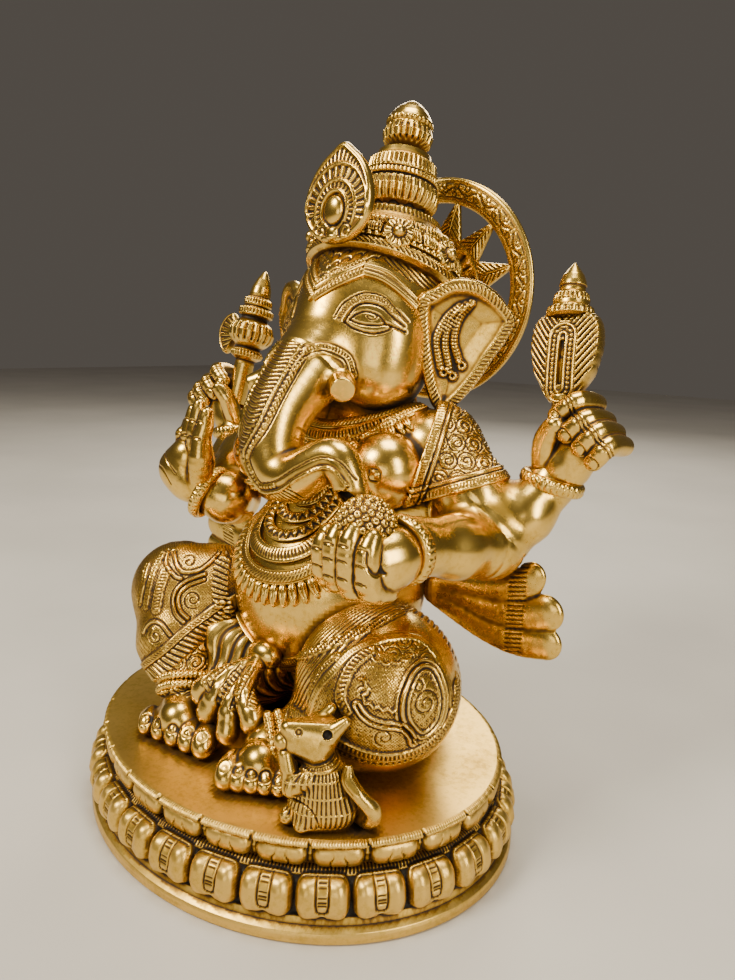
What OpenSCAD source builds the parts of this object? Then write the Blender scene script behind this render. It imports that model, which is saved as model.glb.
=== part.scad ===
// Seated elephant-headed deity statue, cast in brass parts that are brazed and bolted together.
// All lengths are millimetres. The figure faces -Y, +Z is up and +X is the figure's own left side.
// Places are measured from the middle of the pedestal's foot, and set_down() then moves every
// piece by the same step, so that the whole statue's outer box is centred on the origin.

/* [Pedestal] */
// Half width of the pedestal at its foot
foot_half_w = 104.6; // [100:0.1:110]
// Half depth of the pedestal at its foot
foot_half_d = 86.3; // [82:0.1:90]
// Height of the deck that the figure sits on
deck_z = 36.7; // [35:0.1:38]
// Height of the plain flange at the foot
flange_h = 8.5; // [7:0.5:9]
// Height of the joint between the two tiers
neck_z = 24.5; // [24:0.5:25]
// Number of petals round the lower tier
lower_petals = 28; // [24:2:32]
// Number of petals round the upper tier
upper_petals = 26; // [22:2:30]

/* [Castings] */
// Wall thickness of the hollow castings
wall = 4; // [3:0.5:5]
// Radius of the bolts that hold the figure down
bolt_r = 3; // [2.5:0.5:4]

/* [Figure] */
// Radius of the belly
belly_r = 45; // [44:0.5:46]
// Radius of the folded left knee
left_knee_r = 34; // [33:0.5:35]
// Radius of the raised right knee
right_knee_r = 23; // [22:0.5:24]
// Radius of the arms at the elbow
elbow_r = 13.5; // [12.5:0.5:14.5]
// Radius of the arms at the wrist
wrist_r = 10; // [9:0.5:11]
// Radius of a bangle, from its centre to the middle of its wire
bangle_r = 11; // [10:0.5:12]
// Radius of a bangle's wire
bangle_wire_r = 2.4; // [2:0.1:3]

/* [Crown and halo] */
// Backward lean of the crown, in degrees
crown_lean = 10; // [8:0.5:12]
// Outer radius of the halo wheel
halo_r = 55.3; // [54:0.1:57]
// Radial width of the halo's rim
halo_rim = 12; // [11:0.5:13]
// Thickness of the halo wheel
halo_t = 4; // [3:0.5:5]
// Points of the star inside the halo
halo_points = 12; // [10:1:14]

/* [Hidden] */
brass = [0.80, 0.60, 0.26];
dark_brass = [0.66, 0.47, 0.18];
steel = [0.62, 0.62, 0.60];
pedestal_at = [2.9, -9.5, 0];   // puts the outer box's middle on the origin
limb_fn = 16;
small_fn = 8;
outline_points = 72;
left = 1;
right = -1;
petal_proud = 2.6;          // how far a petal bulges past the tier's wall
deck_inset = 7.5;           // how much smaller the deck is than the foot, each way
deck_rim_h = 2.2;

belly_at = [0, 21.7, 97.5];
chest_at = [0, 40, 148];
chest_r = 33;
breast_x = 29;
breast_at = [breast_x, 17, 160];
breast_r = 16;
shoulder_at = [48, 38, 165];
shoulder_r = 15.5;
head_at = [0, 48, 215];
head_r = 36;
left_knee_at = [50, -7, 71.5];
right_knee_at = [-64, -15, 88];
left_hip = [32, 20, 64, 26];
right_hip = [-34, 16, 66, 25];
left_ankle = [20, -40, 48, 10];
right_ankle = [-32, -38, 49, 11.5];

elbow_at = [77, 29, 131];
rear_wrist_at = [94, 49, 156];
rear_fist_at = [97.5, 53, 173];
left_front_wrist_at = [66, -15, 138];
right_front_wrist_at = [60, 3, 136];
left_front_hand_at = [57, -29, 134];
modak_at = [58, -30, 147];
modak_r = 12.5;
emblem_foot = [94, 51.5, 190];
emblem_lean = 13;           // how far the emblems lean back
emblem_cant = -5;           // and how far their tips lean inwards
stem_r = 3.6;
stem_l = 18;
crown_foot = [0, 56, 236];
halo_at = [0, 100, 235.7];
bolt_places = [[-24, 14], [24, 14]];

trunk_path = [
    [0, 17, 206, 20], [0, -3, 194, 15.5], [0, -16, 179, 13.5], [2, -21, 165, 12.5],
    [8, -23, 154, 11.5], [18, -23, 150, 10.5], [27, -22, 154, 9.5], [33, -20, 160, 8.5],
    [39, -20, 159, 7.5], [43, -21, 153, 7]
];

// ---- helpers ----

function place(p) = [p[0], p[1], p[2]];
function flip(p, side) = [side * p[0], p[1], p[2]];
function ellipse_points(a, b) =
    [for (i = [0:outline_points - 1]) let (t = 360 * i / outline_points) [a * cos(t), b * sin(t)]];
function front_of_ball(x, z, c, r) =
    let (left_over = r * r - pow(x - c[0], 2) - pow(z - c[2], 2))
    left_over > 0 ? c[1] - sqrt(left_over) : 1000;
// the y of the torso's front surface above the point (x, z)
function torso_front(x, z) = min([
    front_of_ball(x, z, belly_at, belly_r),
    front_of_ball(x, z, chest_at, chest_r),
    front_of_ball(abs(x), z, breast_at, breast_r),
    chest_at[1]
]);
// a point of a necklace that hangs from half-width w at height top to height low, at t from -1 to 1
function hang(t, w, top, low, proud) =
    let (x = w * sin(90 * t), z = low + (top - low) * pow(abs(t), 2.2))
    [x, torso_front(x, z) - proud, z];

module set_down() {
    translate(pedestal_at) children();
}

// a run of rounded limbs through points [x, y, z, radius]
module chain(path, fn = limb_fn) {
    for (i = [0:len(path) - 2]) {
        hull() {
            translate(place(path[i])) sphere(r = path[i][3], $fn = fn);
            translate(place(path[i + 1])) sphere(r = path[i + 1][3], $fn = fn);
        }
    }
}

module ball(at, r) {
    translate(at) sphere(r = r, $fn = 32);
}

// stands children up along the line from a to b, starting at a
module along(a, b) {
    d = b - a;
    flat = norm([d[0], d[1]]);
    translate(a) rotate([0, atan2(flat, d[2]), atan2(d[1], d[0])]) children();
}

module ring(r, wire) {
    rotate_extrude($fn = 28) translate([r, 0]) circle(r = wire, $fn = 14);
}

module oval_slab(a, b, h) {
    linear_extrude(height = h) polygon(ellipse_points(a, b));
}

module petal_band(a, b, h, count, petal_r) {
    linear_extrude(height = h) {
        polygon(ellipse_points(a, b));
        for (i = [0:count - 1]) {
            t = 360 * (i + 0.5) / count;
            translate([(a + petal_proud - petal_r) * cos(t), (b + petal_proud - petal_r) * sin(t)])
                circle(r = petal_r, $fn = 32);
        }
    }
}

// ---- pedestal ----

module base_flange_tier() {
    color(brass) set_down() difference() {
        union() {
            oval_slab(foot_half_w, foot_half_d, flange_h);
            translate([0, 0, flange_h])
                petal_band(foot_half_w - 6, foot_half_d - 6, neck_z - flange_h - 2, lower_petals, 10);
            translate([0, 0, neck_z - 2]) oval_slab(foot_half_w - 9, foot_half_d - 9, 2);
        }
        translate([0, 0, -1])
            oval_slab(foot_half_w - 9 - wall, foot_half_d - 9 - wall, neck_z + 2);
    }
}

module base_deck_tier() {
    a = foot_half_w - deck_inset;
    b = foot_half_d - deck_inset;
    color(brass) set_down() difference() {
        union() {
            translate([0, 0, neck_z]) oval_slab(a - 2, b - 2, 2);
            translate([0, 0, neck_z + 2])
                petal_band(a - petal_proud - 1, b - petal_proud - 1, deck_z - neck_z - 2 - deck_rim_h,
                    upper_petals, 11);
            translate([0, 0, deck_z - deck_rim_h]) oval_slab(a, b, deck_rim_h);
        }
        translate([0, 0, neck_z - 1])
            oval_slab(a - 2 - 2 * wall, b - 2 - 2 * wall, deck_z - neck_z - wall - deck_rim_h + 1);
        for (p = bolt_places) translate([p[0], p[1], neck_z]) cylinder(r = bolt_r, h = 20, $fn = 24);
    }
}

// two hexagon bolts with washers that come up through the deck into the seat
module figure_bolts() {
    under_deck = deck_z - wall - deck_rim_h;
    color(steel) set_down() for (p = bolt_places) translate([p[0], p[1], 0]) {
        translate([0, 0, under_deck - 5.5]) cylinder(r = bolt_r * 1.9, h = 4, $fn = 6);
        translate([0, 0, under_deck - 1.5]) cylinder(r = bolt_r * 2.4, h = 1.5, $fn = 32);
        translate([0, 0, under_deck - 1.5]) cylinder(r = bolt_r, h = 19.5, $fn = 24);
    }
}

// ---- seat, legs and feet ----

module above_deck() {
    difference() {
        children();
        translate([-150, -150, deck_z - 100]) cube([300, 300, 100]);
    }
}

module torso_form() {
    ball(belly_at, belly_r);
    ball(chest_at, chest_r);
    for (s = [left, right]) ball(flip(breast_at, s), breast_r);
}

module left_leg_form() {
    chain([left_hip, [44, 4, 68, 31]]);
    translate(left_knee_at) sphere(r = left_knee_r, $fn = 22);
    chain([[38, -22, 56, 17], left_ankle], small_fn);
}

module right_leg_form() {
    chain([right_hip, concat(right_knee_at, right_knee_r)], 20);
    chain([concat(right_knee_at, right_knee_r), [-44, -32, 62, 17], right_ankle], 20);
}

module seat_form() {
    hull() {
        for (x = [-34, 34]) translate([x, 26, 62]) sphere(r = 25, $fn = 24);
        translate([0, 42, 60]) sphere(r = 23, $fn = 24);
        translate([0, 6, 56]) sphere(r = 19, $fn = 24);
    }
}

// the folds of cloth that fill the lap between the raised right leg and the belly
module lap_form() {
    hull() {
        translate([-20, -6, 60]) sphere(r = 20, $fn = 24);
        translate([-44, -13, 72]) sphere(r = 17, $fn = 24);
        translate([-24, -22, 52]) sphere(r = 13, $fn = 24);
    }
}

module seat_dhoti() {
    color(brass) set_down() difference() {
        above_deck() {
            seat_form();
            lap_form();
        }
        torso_form();
        translate([0, 26, deck_z - 1]) scale([1.35, 0.9, 1]) cylinder(r = 26, h = 20, $fn = 32);
        left_leg_form();
        right_leg_form();
        for (p = bolt_places) translate([p[0], p[1], deck_z - 1]) cylinder(r = bolt_r, h = 17, $fn = 24);
    }
}

module belly_torso() {
    color(brass) set_down() difference() {
        torso_form();
        ball(belly_at, belly_r - wall);
        ball(chest_at, chest_r - wall);
        translate([0, 26, 0]) cylinder(r = 22, h = 90, $fn = 32);
    }
}

module left_leg() {
    color(brass) set_down() difference() {
        above_deck() left_leg_form();
        torso_form();
        translate(left_knee_at) sphere(r = left_knee_r - wall, $fn = 24);
        translate([left_knee_at[0], left_knee_at[1], 0]) cylinder(r = 17, h = 60, $fn = 24);
        left_anklet_form();
        mouse_form();
    }
}

module right_leg() {
    color(brass) set_down() difference() {
        above_deck() right_leg_form();
        torso_form();
        chain([[-38, 12, 68, 20], [-62, -13, 87, 18.5], [-44, -30, 62, 11]]);
        translate([-46, -4, 0]) cylinder(r = 10, h = 66, $fn = 24);
        right_anklet_form();
    }
}

// a foot with five toes side by side, from heel to toe tips
module foot_form(heel, first_toe, last_toe) {
    middle = (first_toe + last_toe) / 2;
    chain([concat(heel, 11), concat(middle + [0, 8, 3], 9)], small_fn);
    for (i = [0:4]) {
        tip = first_toe + (last_toe - first_toe) * i / 4;
        r = 4.6 - 0.35 * i;
        chain([concat(tip + (middle - tip) * 0.35 + [0, 8, 2], r), concat(tip, r)], small_fn);
    }
}

module left_foot() {
    color(brass) set_down() difference() {
        above_deck() foot_form([24, -40, 45], [19, -58, 41], [36, -50, 40.5]);
        left_leg_form();
        left_anklet_form();
        mouse_form();
    }
}

module right_foot() {
    color(brass) set_down() difference() {
        above_deck() foot_form([-34, -36, 46], [-4, -50, 41], [-36, -55, 40.5]);
        right_leg_form();
        right_anklet_form();
    }
}

module right_anklet_form() {
    along([-36, -36, 55], [-32, -39, 47]) ring(12.6, 2);
}

module left_anklet_form() {
    along([26, -33, 51], [20, -42, 50]) ring(10.4, 1.8);
}

module anklets() {
    color(brass) set_down() {
        right_anklet_form();
        left_anklet_form();
    }
}

// ---- arms and hands ----

module upper_arm_form(side) {
    chain([
        concat(flip(shoulder_at, side), shoulder_r),
        concat(flip([67, 33, 146], side), 14.5),
        concat(flip(elbow_at, side), elbow_r)
    ]);
}

module upper_arm(side) {
    difference() {
        upper_arm_form(side);
        torso_form();
    }
}

module left_upper_arm() {
    color(brass) set_down() upper_arm(left);
}

module right_upper_arm() {
    color(brass) set_down() upper_arm(right);
}

module rear_forearm_form(side) {
    chain([
        concat(flip(elbow_at, side), elbow_r - 0.5),
        concat(flip(rear_wrist_at, side), wrist_r),
        concat(flip(0.75 * rear_wrist_at + 0.25 * rear_fist_at, side), wrist_r - 1)
    ]);
}

module rear_forearm(side) {
    difference() {
        rear_forearm_form(side);
        upper_arm_form(side);
        rear_bangle_form(side);
    }
}

module left_rear_forearm() {
    color(brass) set_down() rear_forearm(left);
}

module right_rear_forearm() {
    color(brass) set_down() rear_forearm(right);
}

module left_front_forearm_form() {
    chain([
        concat(elbow_at, elbow_r - 0.7), [72, 6, 134, 12.5], concat(left_front_wrist_at, wrist_r)
    ]);
}

module left_front_forearm() {
    color(brass) set_down() difference() {
        left_front_forearm_form();
        upper_arm_form(left);
        rear_forearm_form(left);
        left_front_bangle_form();
    }
}

module right_front_forearm_form() {
    chain([
        concat(flip(elbow_at, right), elbow_r - 0.7), [-67, 16, 131, 12],
        concat(flip(right_front_wrist_at, right), wrist_r), [-61, 0, 142, wrist_r - 1]
    ]);
}

module right_front_forearm() {
    color(brass) set_down() difference() {
        right_front_forearm_form();
        upper_arm_form(right);
        rear_forearm_form(right);
        right_front_bangle_form();
        torso_form();
    }
}

module rear_bangle_form(side) {
    along(flip(rear_wrist_at, side), flip(rear_fist_at, side)) ring(bangle_r, bangle_wire_r);
}

module left_front_bangle_form() {
    along(left_front_wrist_at + [1, 3, 0], left_front_hand_at) ring(bangle_r, bangle_wire_r);
}

module right_front_bangle_form() {
    along(flip(right_front_wrist_at, right), [-62, -2, 148]) ring(bangle_r, bangle_wire_r);
}

module left_rear_bangle() {
    color(brass) set_down() rear_bangle_form(left);
}

module right_rear_bangle() {
    color(brass) set_down() rear_bangle_form(right);
}

module left_front_bangle() {
    color(brass) set_down() left_front_bangle_form();
}

module right_front_bangle() {
    color(brass) set_down() right_front_bangle_form();
}

// a closed fist: the palm, four curled fingers stacked across it and a thumb
module fist_form(side) {
    c = rear_fist_at;
    chain([concat(flip(c + [-2, -4, -4], side), 9.5), concat(flip(c + [-2, -3, 6], side), 9.5)], small_fn);
    for (i = [0:3]) {
        z = 8 - 5 * i;
        chain([
            concat(flip(c + [8, 5, z], side), 3.3), concat(flip(c + [10, -4, z], side), 3.3),
            concat(flip(c + [3, -9, z], side), 3)
        ], small_fn);
    }
    chain([
        concat(flip(c + [-5, -6, 4], side), 3.6), concat(flip(c + [0, -9, 10], side), 3.3)
    ], small_fn);
}

module rear_hand(side) {
    difference() {
        fist_form(side);
        stem_form(side);
        rear_forearm_form(side);
        rear_bangle_form(side);
    }
}

module left_rear_hand() {
    color(brass) set_down() rear_hand(left);
}

module right_rear_hand() {
    color(brass) set_down() rear_hand(right);
}

// the cupped hand: a palm under the sweet and four fingers that stand up in front of it
module left_front_hand_form() {
    chain([[63, -20, 136, 9.5], [56, -26, 132, 10]], small_fn);
    for (i = [0:3]) {
        x = 46 + 6.4 * i;
        y = -37 - 5 * sin(180 * (i + 0.5) / 4);
        chain([[x + 1, y + 10, 127, 3.8], [x, y, 130, 3.6], [x, y + 0.5, 144, 3]], small_fn);
    }
    chain([[66, -26, 136, 4], [69, -33, 145, 3.6]], small_fn);
}

module left_front_hand() {
    color(brass) set_down() difference() {
        left_front_hand_form();
        left_front_forearm_form();
        left_front_bangle_form();
        torso_form();
        ball(modak_at, modak_r);
    }
}

// the raised palm: a slab of a hand with four fingers up and the thumb aside
module right_front_hand_form() {
    chain([[-62, -1, 146, 8.5], [-65, -2, 156, 9]], small_fn);
    for (i = [0:3]) {
        x = -59 - 4.6 * i;
        y = -7 + 3 * i;
        chain([[x, y, 152, 4], [x - 2, y, 166, 3.4], [x - 3.5, y, 177 - abs(i - 1.2) * 2, 2.8]], small_fn);
    }
    chain([[-56, -6, 150, 4], [-54, -8, 162, 3.2]], small_fn);
}

module right_front_hand() {
    color(brass) set_down() difference() {
        right_front_hand_form();
        right_front_forearm_form();
        right_front_bangle_form();
    }
}

module modak() {
    color(brass) set_down() difference() {
        ball(modak_at, modak_r);
        chain([for (i = [7:9]) trunk_path[i]]);
    }
}

// stands children on a rear fist, leaning as its emblem leans
module on_fist(side) {
    translate(flip(emblem_foot, side)) rotate([-emblem_lean, side * emblem_cant, 0]) children();
}

// the hole through a rear fist that its emblem's stem stands in
module stem_form(side) {
    on_fist(side) translate([0, 0, -stem_l]) cylinder(r = stem_r, h = stem_l + 2, $fn = 24);
}

module turned(profile) {
    rotate_extrude($fn = 40) polygon(profile);
}

module noose_emblem() {
    color(brass) set_down() {
        stem_form(left);
        on_fist(left) {
            turned([[0, 0], [5.5, 0], [6, 2], [4.5, 4], [0, 4]]);
            hull() {
                translate([0, 0, 4]) sphere(r = 4, $fn = 20);
                translate([0, 0, 19]) scale([2.7, 1.1, 2]) sphere(r = 5, $fn = 24);
                translate([0, 0, 33]) sphere(r = 5, $fn = 20);
            }
            translate([0, 0, 34]) turned([
                [0, 0], [7, 0], [8.5, 2], [7, 4], [6, 4.5], [7, 6], [6.5, 8], [4.8, 9], [4.4, 13],
                [2.6, 18], [0, 22]
            ]);
        }
    }
}

module axe() {
    color(brass) set_down() {
        stem_form(right);
        on_fist(right) {
            turned([
                [0, 0], [5, 0], [3.6, 2], [3.6, 5], [7, 7], [7.5, 10], [5.5, 12], [5, 14],
                [9, 17], [10, 22], [7.5, 26], [5, 28], [5, 30], [7.5, 32], [7.5, 35], [5.5, 36],
                [6.5, 39], [6, 42], [4.6, 44], [4.4, 48], [2.6, 52], [0, 56]
            ]);
            rotate([90, 0, 0]) translate([0, 0, -2]) linear_extrude(height = 4)
                polygon([[-6, 17], [-12, 12], [-16, 6], [-22, 11], [-24, 19], [-22, 27], [-17, 31], [-6, 26]]);
        }
    }
}

// ---- head ----

module head_form() {
    hull() {
        translate(head_at) sphere(r = head_r, $fn = 28);
        translate([0, 52, 228]) sphere(r = 31, $fn = 28);
        for (s = [left, right]) translate([s * 18, 30, 196]) sphere(r = 17, $fn = 20);
    }
    translate([0, 44, 170]) cylinder(r = 25, h = 30, $fn = 40);
}

module trunk_form() {
    chain(trunk_path);
}

module head() {
    color(brass) set_down() difference() {
        head_form();
        torso_form();
        translate(head_at) sphere(r = head_r - 2 * wall, $fn = 20);
        translate([0, 44, 150]) cylinder(r = 18, h = 40, $fn = 32);
        for (s = [left, right]) upper_arm_form(s);
        crown_band_form();
    }
}

module trunk() {
    color(brass) set_down() difference() {
        trunk_form();
        head_form();
        torso_form();
    }
}

module tusk_form(side, reach) {
    chain([[side * 14, 6, 194, 6], [side * (14 + 6 * reach), 6 - 14 * reach, 194 - 4 * reach, 4.2]], 14);
}

module tusk(side, reach) {
    difference() {
        tusk_form(side, reach);
        head_form();
        trunk_form();
    }
}

// the broken tusk ends in a short blunt stub
module left_tusk() {
    color(brass) set_down() tusk(left, 1);
}

module right_tusk() {
    color(brass) set_down() tusk(right, 1.7);
}

module ear_form(side) {
    edge = [
        [34, 34, 229, 3.5], [48, 40, 235, 3.2], [60, 50, 231, 3], [69, 58, 221, 3], [62, 54, 206, 3],
        [52, 47, 192, 3.2], [43, 42, 183, 3.6], [34, 38, 190, 3.5]
    ];
    middle = [37, 42, 209, 4];
    for (i = [0:len(edge) - 2]) {
        hull() {
            for (p = [edge[i], edge[i + 1], middle])
                translate(flip(place(p), side)) sphere(r = p[3], $fn = small_fn);
        }
    }
}

module ear(side) {
    difference() {
        ear_form(side);
        head_form();
        torso_form();
        upper_arm_form(side);
    }
}

module left_ear() {
    color(brass) set_down() ear(left);
}

module right_ear() {
    color(brass) set_down() ear(right);
}

// the engraved band that dips to a point between the eyes
module headband() {
    arc = [
        for (t = [-1:0.25:1])
        let (x = 36 * sin(78 * t), z = 227 + 10 * pow(abs(t), 0.7))
        [x, 50 - sqrt(max(0, 37.5 * 37.5 - x * x)) + abs(t) * 1.5, z, 3]
    ];
    color(brass) set_down() difference() {
        chain(arc, small_fn);
        head_form();
        crown_band_form();
        for (s = [left, right]) ear_form(s);
    }
}

// ---- crown and halo ----

module crown_axis() {
    translate(crown_foot) rotate([-crown_lean, 0, 0]) children();
}

module crown_band_form() {
    crown_axis() turned([
        [0, -2], [38, -2], [40, 1], [39, 5], [37, 7], [37.5, 10], [34, 13], [33, 16], [31, 19],
        [28, 23], [24, 27], [20, 30], [0, 30]
    ]);
}

module crown_band() {
    color(brass) set_down() difference() {
        crown_band_form();
        crown_axis() translate([0, 0, -3]) cylinder(r1 = 27, r2 = 20, h = 26, $fn = 40);
    }
}

module crown_dome_form() {
    crown_axis() turned([
        [0, 30], [15, 30], [14.5, 33], [17.5, 36], [18.5, 41], [18, 46], [17, 47.5], [17.5, 50],
        [16, 53], [15.5, 56], [13, 60], [0, 60]
    ]);
}

module crown_dome() {
    color(brass) set_down() crown_dome_form();
}

module crown_finial() {
    color(brass) set_down() crown_axis() turned([
        [0, 60], [6, 60], [5.2, 62], [7, 64], [11.5, 67], [12, 71], [10.5, 74], [10.5, 76], [8, 79],
        [4, 83], [0, 85.3]
    ]);
}

// the leaf-shaped plaque that stands at the front of the crown, with its gem
module crown_plaque() {
    outline = [
        for (t = [0:15:345])
        let (w = 15 * sin(t) * (1 - 0.18 * cos(t)), h = 22 * cos(t))
        [w, h]
    ];
    color(brass) set_down() difference() {
        translate([0, 21, 267]) rotate([82, 0, 0]) union() {
            translate([0, 0, -3]) linear_extrude(height = 6) polygon(outline);
            translate([0, -5, 3]) cylinder(r1 = 6, r2 = 4.5, h = 2, $fn = 32);
            translate([0, -15, 2]) cylinder(r = 5, h = 3, $fn = 32);
        }
        crown_band_form();
        crown_dome_form();
    }
}

module halo_ring() {
    inner = halo_r - halo_rim;
    star = [
        for (i = [0:2 * halo_points - 1])
        let (a = 180 * i / halo_points, r = i % 2 == 0 ? inner + 1 : inner * 0.62)
        [r * sin(a), r * cos(a)]
    ];
    color(brass) set_down() difference() {
        translate(halo_at) rotate([90, 0, 0]) translate([0, 0, -halo_t / 2]) {
            rotate_extrude($fn = 96) translate([inner, 0]) square([halo_rim, halo_t]);
            linear_extrude(height = halo_t) polygon(star);
        }
        halo_screw_form();
        crown_band_form();
    }
}

module halo_screw_form() {
    translate([0, 78, halo_at[2] - 14]) rotate([-90, 0, 0]) {
        cylinder(r = 6, h = 20, $fn = 32);
        cylinder(r = 2.5, h = 26, $fn = 24);
        translate([0, 0, 24]) cylinder(r = 5, h = 2.5, $fn = 32);
    }
}

// the screw and its spacer that hold the halo off the back of the head
module halo_screw() {
    color(dark_brass) set_down() difference() {
        halo_screw_form();
        head_form();
        crown_band_form();
    }
}

// ---- ornaments ----

module hanging(w, top, low, steps) {
    chain([for (i = [0:steps]) concat(hang(-1 + 2 * i / steps, w, top, low, 2.6), 4.2)], small_fn);
}

module necklace_collar() {
    color(brass) set_down() difference() {
        hanging(22, 176, 155, 10);
        torso_form();
        head_form();
    }
}

module long_garland() {
    color(brass) set_down() difference() {
        hanging(26, 170, 100, 12);
        torso_form();
        head_form();
    }
}

// the patterned cloth over the left shoulder
module shawl() {
    color(brass) set_down() difference() {
        chain([
            [44, 30, 176, 11], [52, 28, 170, 15], [60, 30, 160, 14.5], [66, 31, 151, 15.2]
        ], limb_fn);
        torso_form();
        upper_arm_form(left);
        head_form();
        ear_form(left);
    }
}

// the belt follows the belly low round the front and rises to each side
module waist_belt() {
    run = [
        for (i = [0:10])
        let (a = -75 + 15 * i, z = 70 + 22 * pow(abs(sin(a)), 1.5),
            r = sqrt(pow(belly_r + 1, 2) - pow(z - belly_at[2], 2)))
        [r * sin(a), belly_at[1] - r * cos(a), z, 3.4]
    ];
    color(brass) set_down() difference() {
        chain(run, small_fn);
        torso_form();
        lap_form();
        left_leg_form();
        right_leg_form();
    }
}

// the knot below the belly, with tassel folds that fan out to the figure's right
module waist_sash_knot() {
    color(brass) set_down() difference() {
        union() {
            translate([-2, -18, 74]) sphere(r = 7, $fn = 20);
            for (i = [0:3]) {
                chain([
                    [-3, -19, 71, 4], [-9 - 4 * i, -31 - 2 * i, 60, 5], [-14 - 6 * i, -39 + i, 50, 3.6]
                ], small_fn);
            }
        }
        torso_form();
        lap_form();
        left_leg_form();
        right_leg_form();
        translate([-150, -150, deck_z - 100]) cube([300, 300, 100]);
    }
}

// a flying sash end: a fan that widens to three lobes
module sash(side) {
    roots = [[50, 36, 106, 4], [50, 36, 101, 4], [50, 36, 96, 4]];
    tips = [[92, 43, 118, 4], [105, 39, 102, 4.2], [102, 43, 90, 4]];
    difference() {
        for (i = [0:1]) {
            hull() {
                for (p = [roots[i], roots[i + 1], tips[i], tips[i + 1]])
                    translate(flip(place(p), side)) sphere(r = p[3], $fn = limb_fn);
            }
        }
        ball(belly_at, belly_r);
    }
}

module left_sash() {
    color(brass) set_down() sash(left);
}

module right_sash() {
    color(brass) set_down() sash(right);
}

// ---- mouse ----

module mouse_form() {
    chain([[57, -49, 41, 9], [57, -48, 56, 7.5], [54, -50, 68, 6.5], [49, -55, 69, 3.5]], 14);
    for (x = [50, 58]) chain([[x, -48, 70, 2], [x, -46, 76, 3]], small_fn);
    for (x = [51, 59]) chain([[x, -54, 56, 3], [x - 1, -60, 60, 2.6]], small_fn);
}

module mouse_body() {
    color(brass) set_down() above_deck() mouse_form();
}

module mouse_tail() {
    color(brass) set_down() difference() {
        chain([[62, -44, 41, 3.4], [71, -40, 41, 3.6], [76, -44, 47, 3.2], [72, -46, 55, 2.2]], small_fn);
        mouse_form();
        left_leg_form();
        translate([-150, -150, deck_z - 100]) cube([300, 300, 100]);
    }
}

base_flange_tier();
base_deck_tier();
figure_bolts();
seat_dhoti();
belly_torso();
left_leg();
right_leg();
left_foot();
right_foot();
anklets();
left_upper_arm();
right_upper_arm();
left_rear_forearm();
right_rear_forearm();
left_front_forearm();
right_front_forearm();
left_rear_bangle();
right_rear_bangle();
left_front_bangle();
right_front_bangle();
left_rear_hand();
right_rear_hand();
left_front_hand();
right_front_hand();
modak();
noose_emblem();
axe();
head();
trunk();
left_tusk();
right_tusk();
left_ear();
right_ear();
headband();
crown_band();
crown_dome();
crown_finial();
crown_plaque();
halo_ring();
halo_screw();
necklace_collar();
long_garland();
shawl();
waist_belt();
waist_sash_knot();
left_sash();
right_sash();
mouse_body();
mouse_tail();
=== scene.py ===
"""Looks of the seated brass elephant-headed statue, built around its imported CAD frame.

Body forms are sculpted as distance fields, turned into fine meshes and then worked over: each
surface is pushed in and out by patterns of beads, hatching, petals and scrolls, as a caster's
chaser would. Jewellery, pedestal, crown and emblems are swept or turned with the same patterns.
Lengths are in millimetres from the middle of the pedestal's foot until a piece is finished.
"""

import math

import bpy
import numpy as np
import openvdb as vdb
from mathutils import Matrix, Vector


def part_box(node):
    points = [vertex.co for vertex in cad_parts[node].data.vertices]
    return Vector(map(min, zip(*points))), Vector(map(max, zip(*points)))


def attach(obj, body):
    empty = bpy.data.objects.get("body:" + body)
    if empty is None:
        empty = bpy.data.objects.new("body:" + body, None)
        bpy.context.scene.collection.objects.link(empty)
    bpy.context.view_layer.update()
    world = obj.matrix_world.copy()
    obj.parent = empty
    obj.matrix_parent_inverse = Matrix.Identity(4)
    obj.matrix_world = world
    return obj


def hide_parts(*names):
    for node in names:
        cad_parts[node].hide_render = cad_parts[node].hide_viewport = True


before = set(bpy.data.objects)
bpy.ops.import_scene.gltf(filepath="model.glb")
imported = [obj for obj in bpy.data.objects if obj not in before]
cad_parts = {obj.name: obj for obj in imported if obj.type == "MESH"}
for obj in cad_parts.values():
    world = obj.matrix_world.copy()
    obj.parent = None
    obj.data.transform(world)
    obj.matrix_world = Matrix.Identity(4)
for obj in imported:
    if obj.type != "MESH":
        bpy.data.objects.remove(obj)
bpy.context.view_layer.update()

MM = 0.001
FINE = 0.5        # grid step of the detailed forms
COARSE = 0.7      # grid step of the plain forms
SPARSE = 1.0     # share of the samples round turned and swept pieces
TAU = 2 * math.pi
TINY = 1e-9                         # keeps a division away from zero
FAR = 1e9                           # further than anything, for the nearest of many
X, Y, Z = np.eye(3)
FRONT = -Y

flange_lo, flange_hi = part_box("base_flange_tier")
FOOT = np.array([(flange_lo.x + flange_hi.x) / 2, (flange_lo.y + flange_hi.y) / 2, flange_lo.z])


def box(node):
    """A CAD node's lowest and highest corners, in mm from the middle of the foot."""
    lo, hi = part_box(node)
    return (np.array(lo) - FOOT) / MM, (np.array(hi) - FOOT) / MM


def vec(*v):
    """A point or direction, or a table with a row for each argument."""
    return np.array(v, float)


def angles(n):
    """n angles evenly round a turn."""
    return TAU * np.arange(n) / n


def circle(n, r):
    """n flat points round a circle, from its top."""
    return r * np.stack([np.sin(angles(n)), np.cos(angles(n))], -1)


# ---------------------------------------------------------------- distance fields

def length(v):
    return np.sqrt(np.einsum("...i,...i->...", v, v))


def unit(v):
    return v / np.maximum(length(v), TINY)[..., None]


def ball(p, at, r):
    return length(p - at) - r


def egg(p, at, radii):
    """An ellipsoid."""
    q = p - at
    radii = np.asarray(radii, float)
    k = length(q / radii)
    return k * (k - 1) / np.maximum(length(q / radii**2), TINY)


def bone(p, a, b, ra, rb):
    """A rounded limb from a to b whose radius goes from ra to rb."""
    ab = b - a
    t = np.clip(((p - a) @ ab) / (ab @ ab), 0, 1)
    return length(p - a - t[:, None] * ab) - (ra + (rb - ra) * t)


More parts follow.
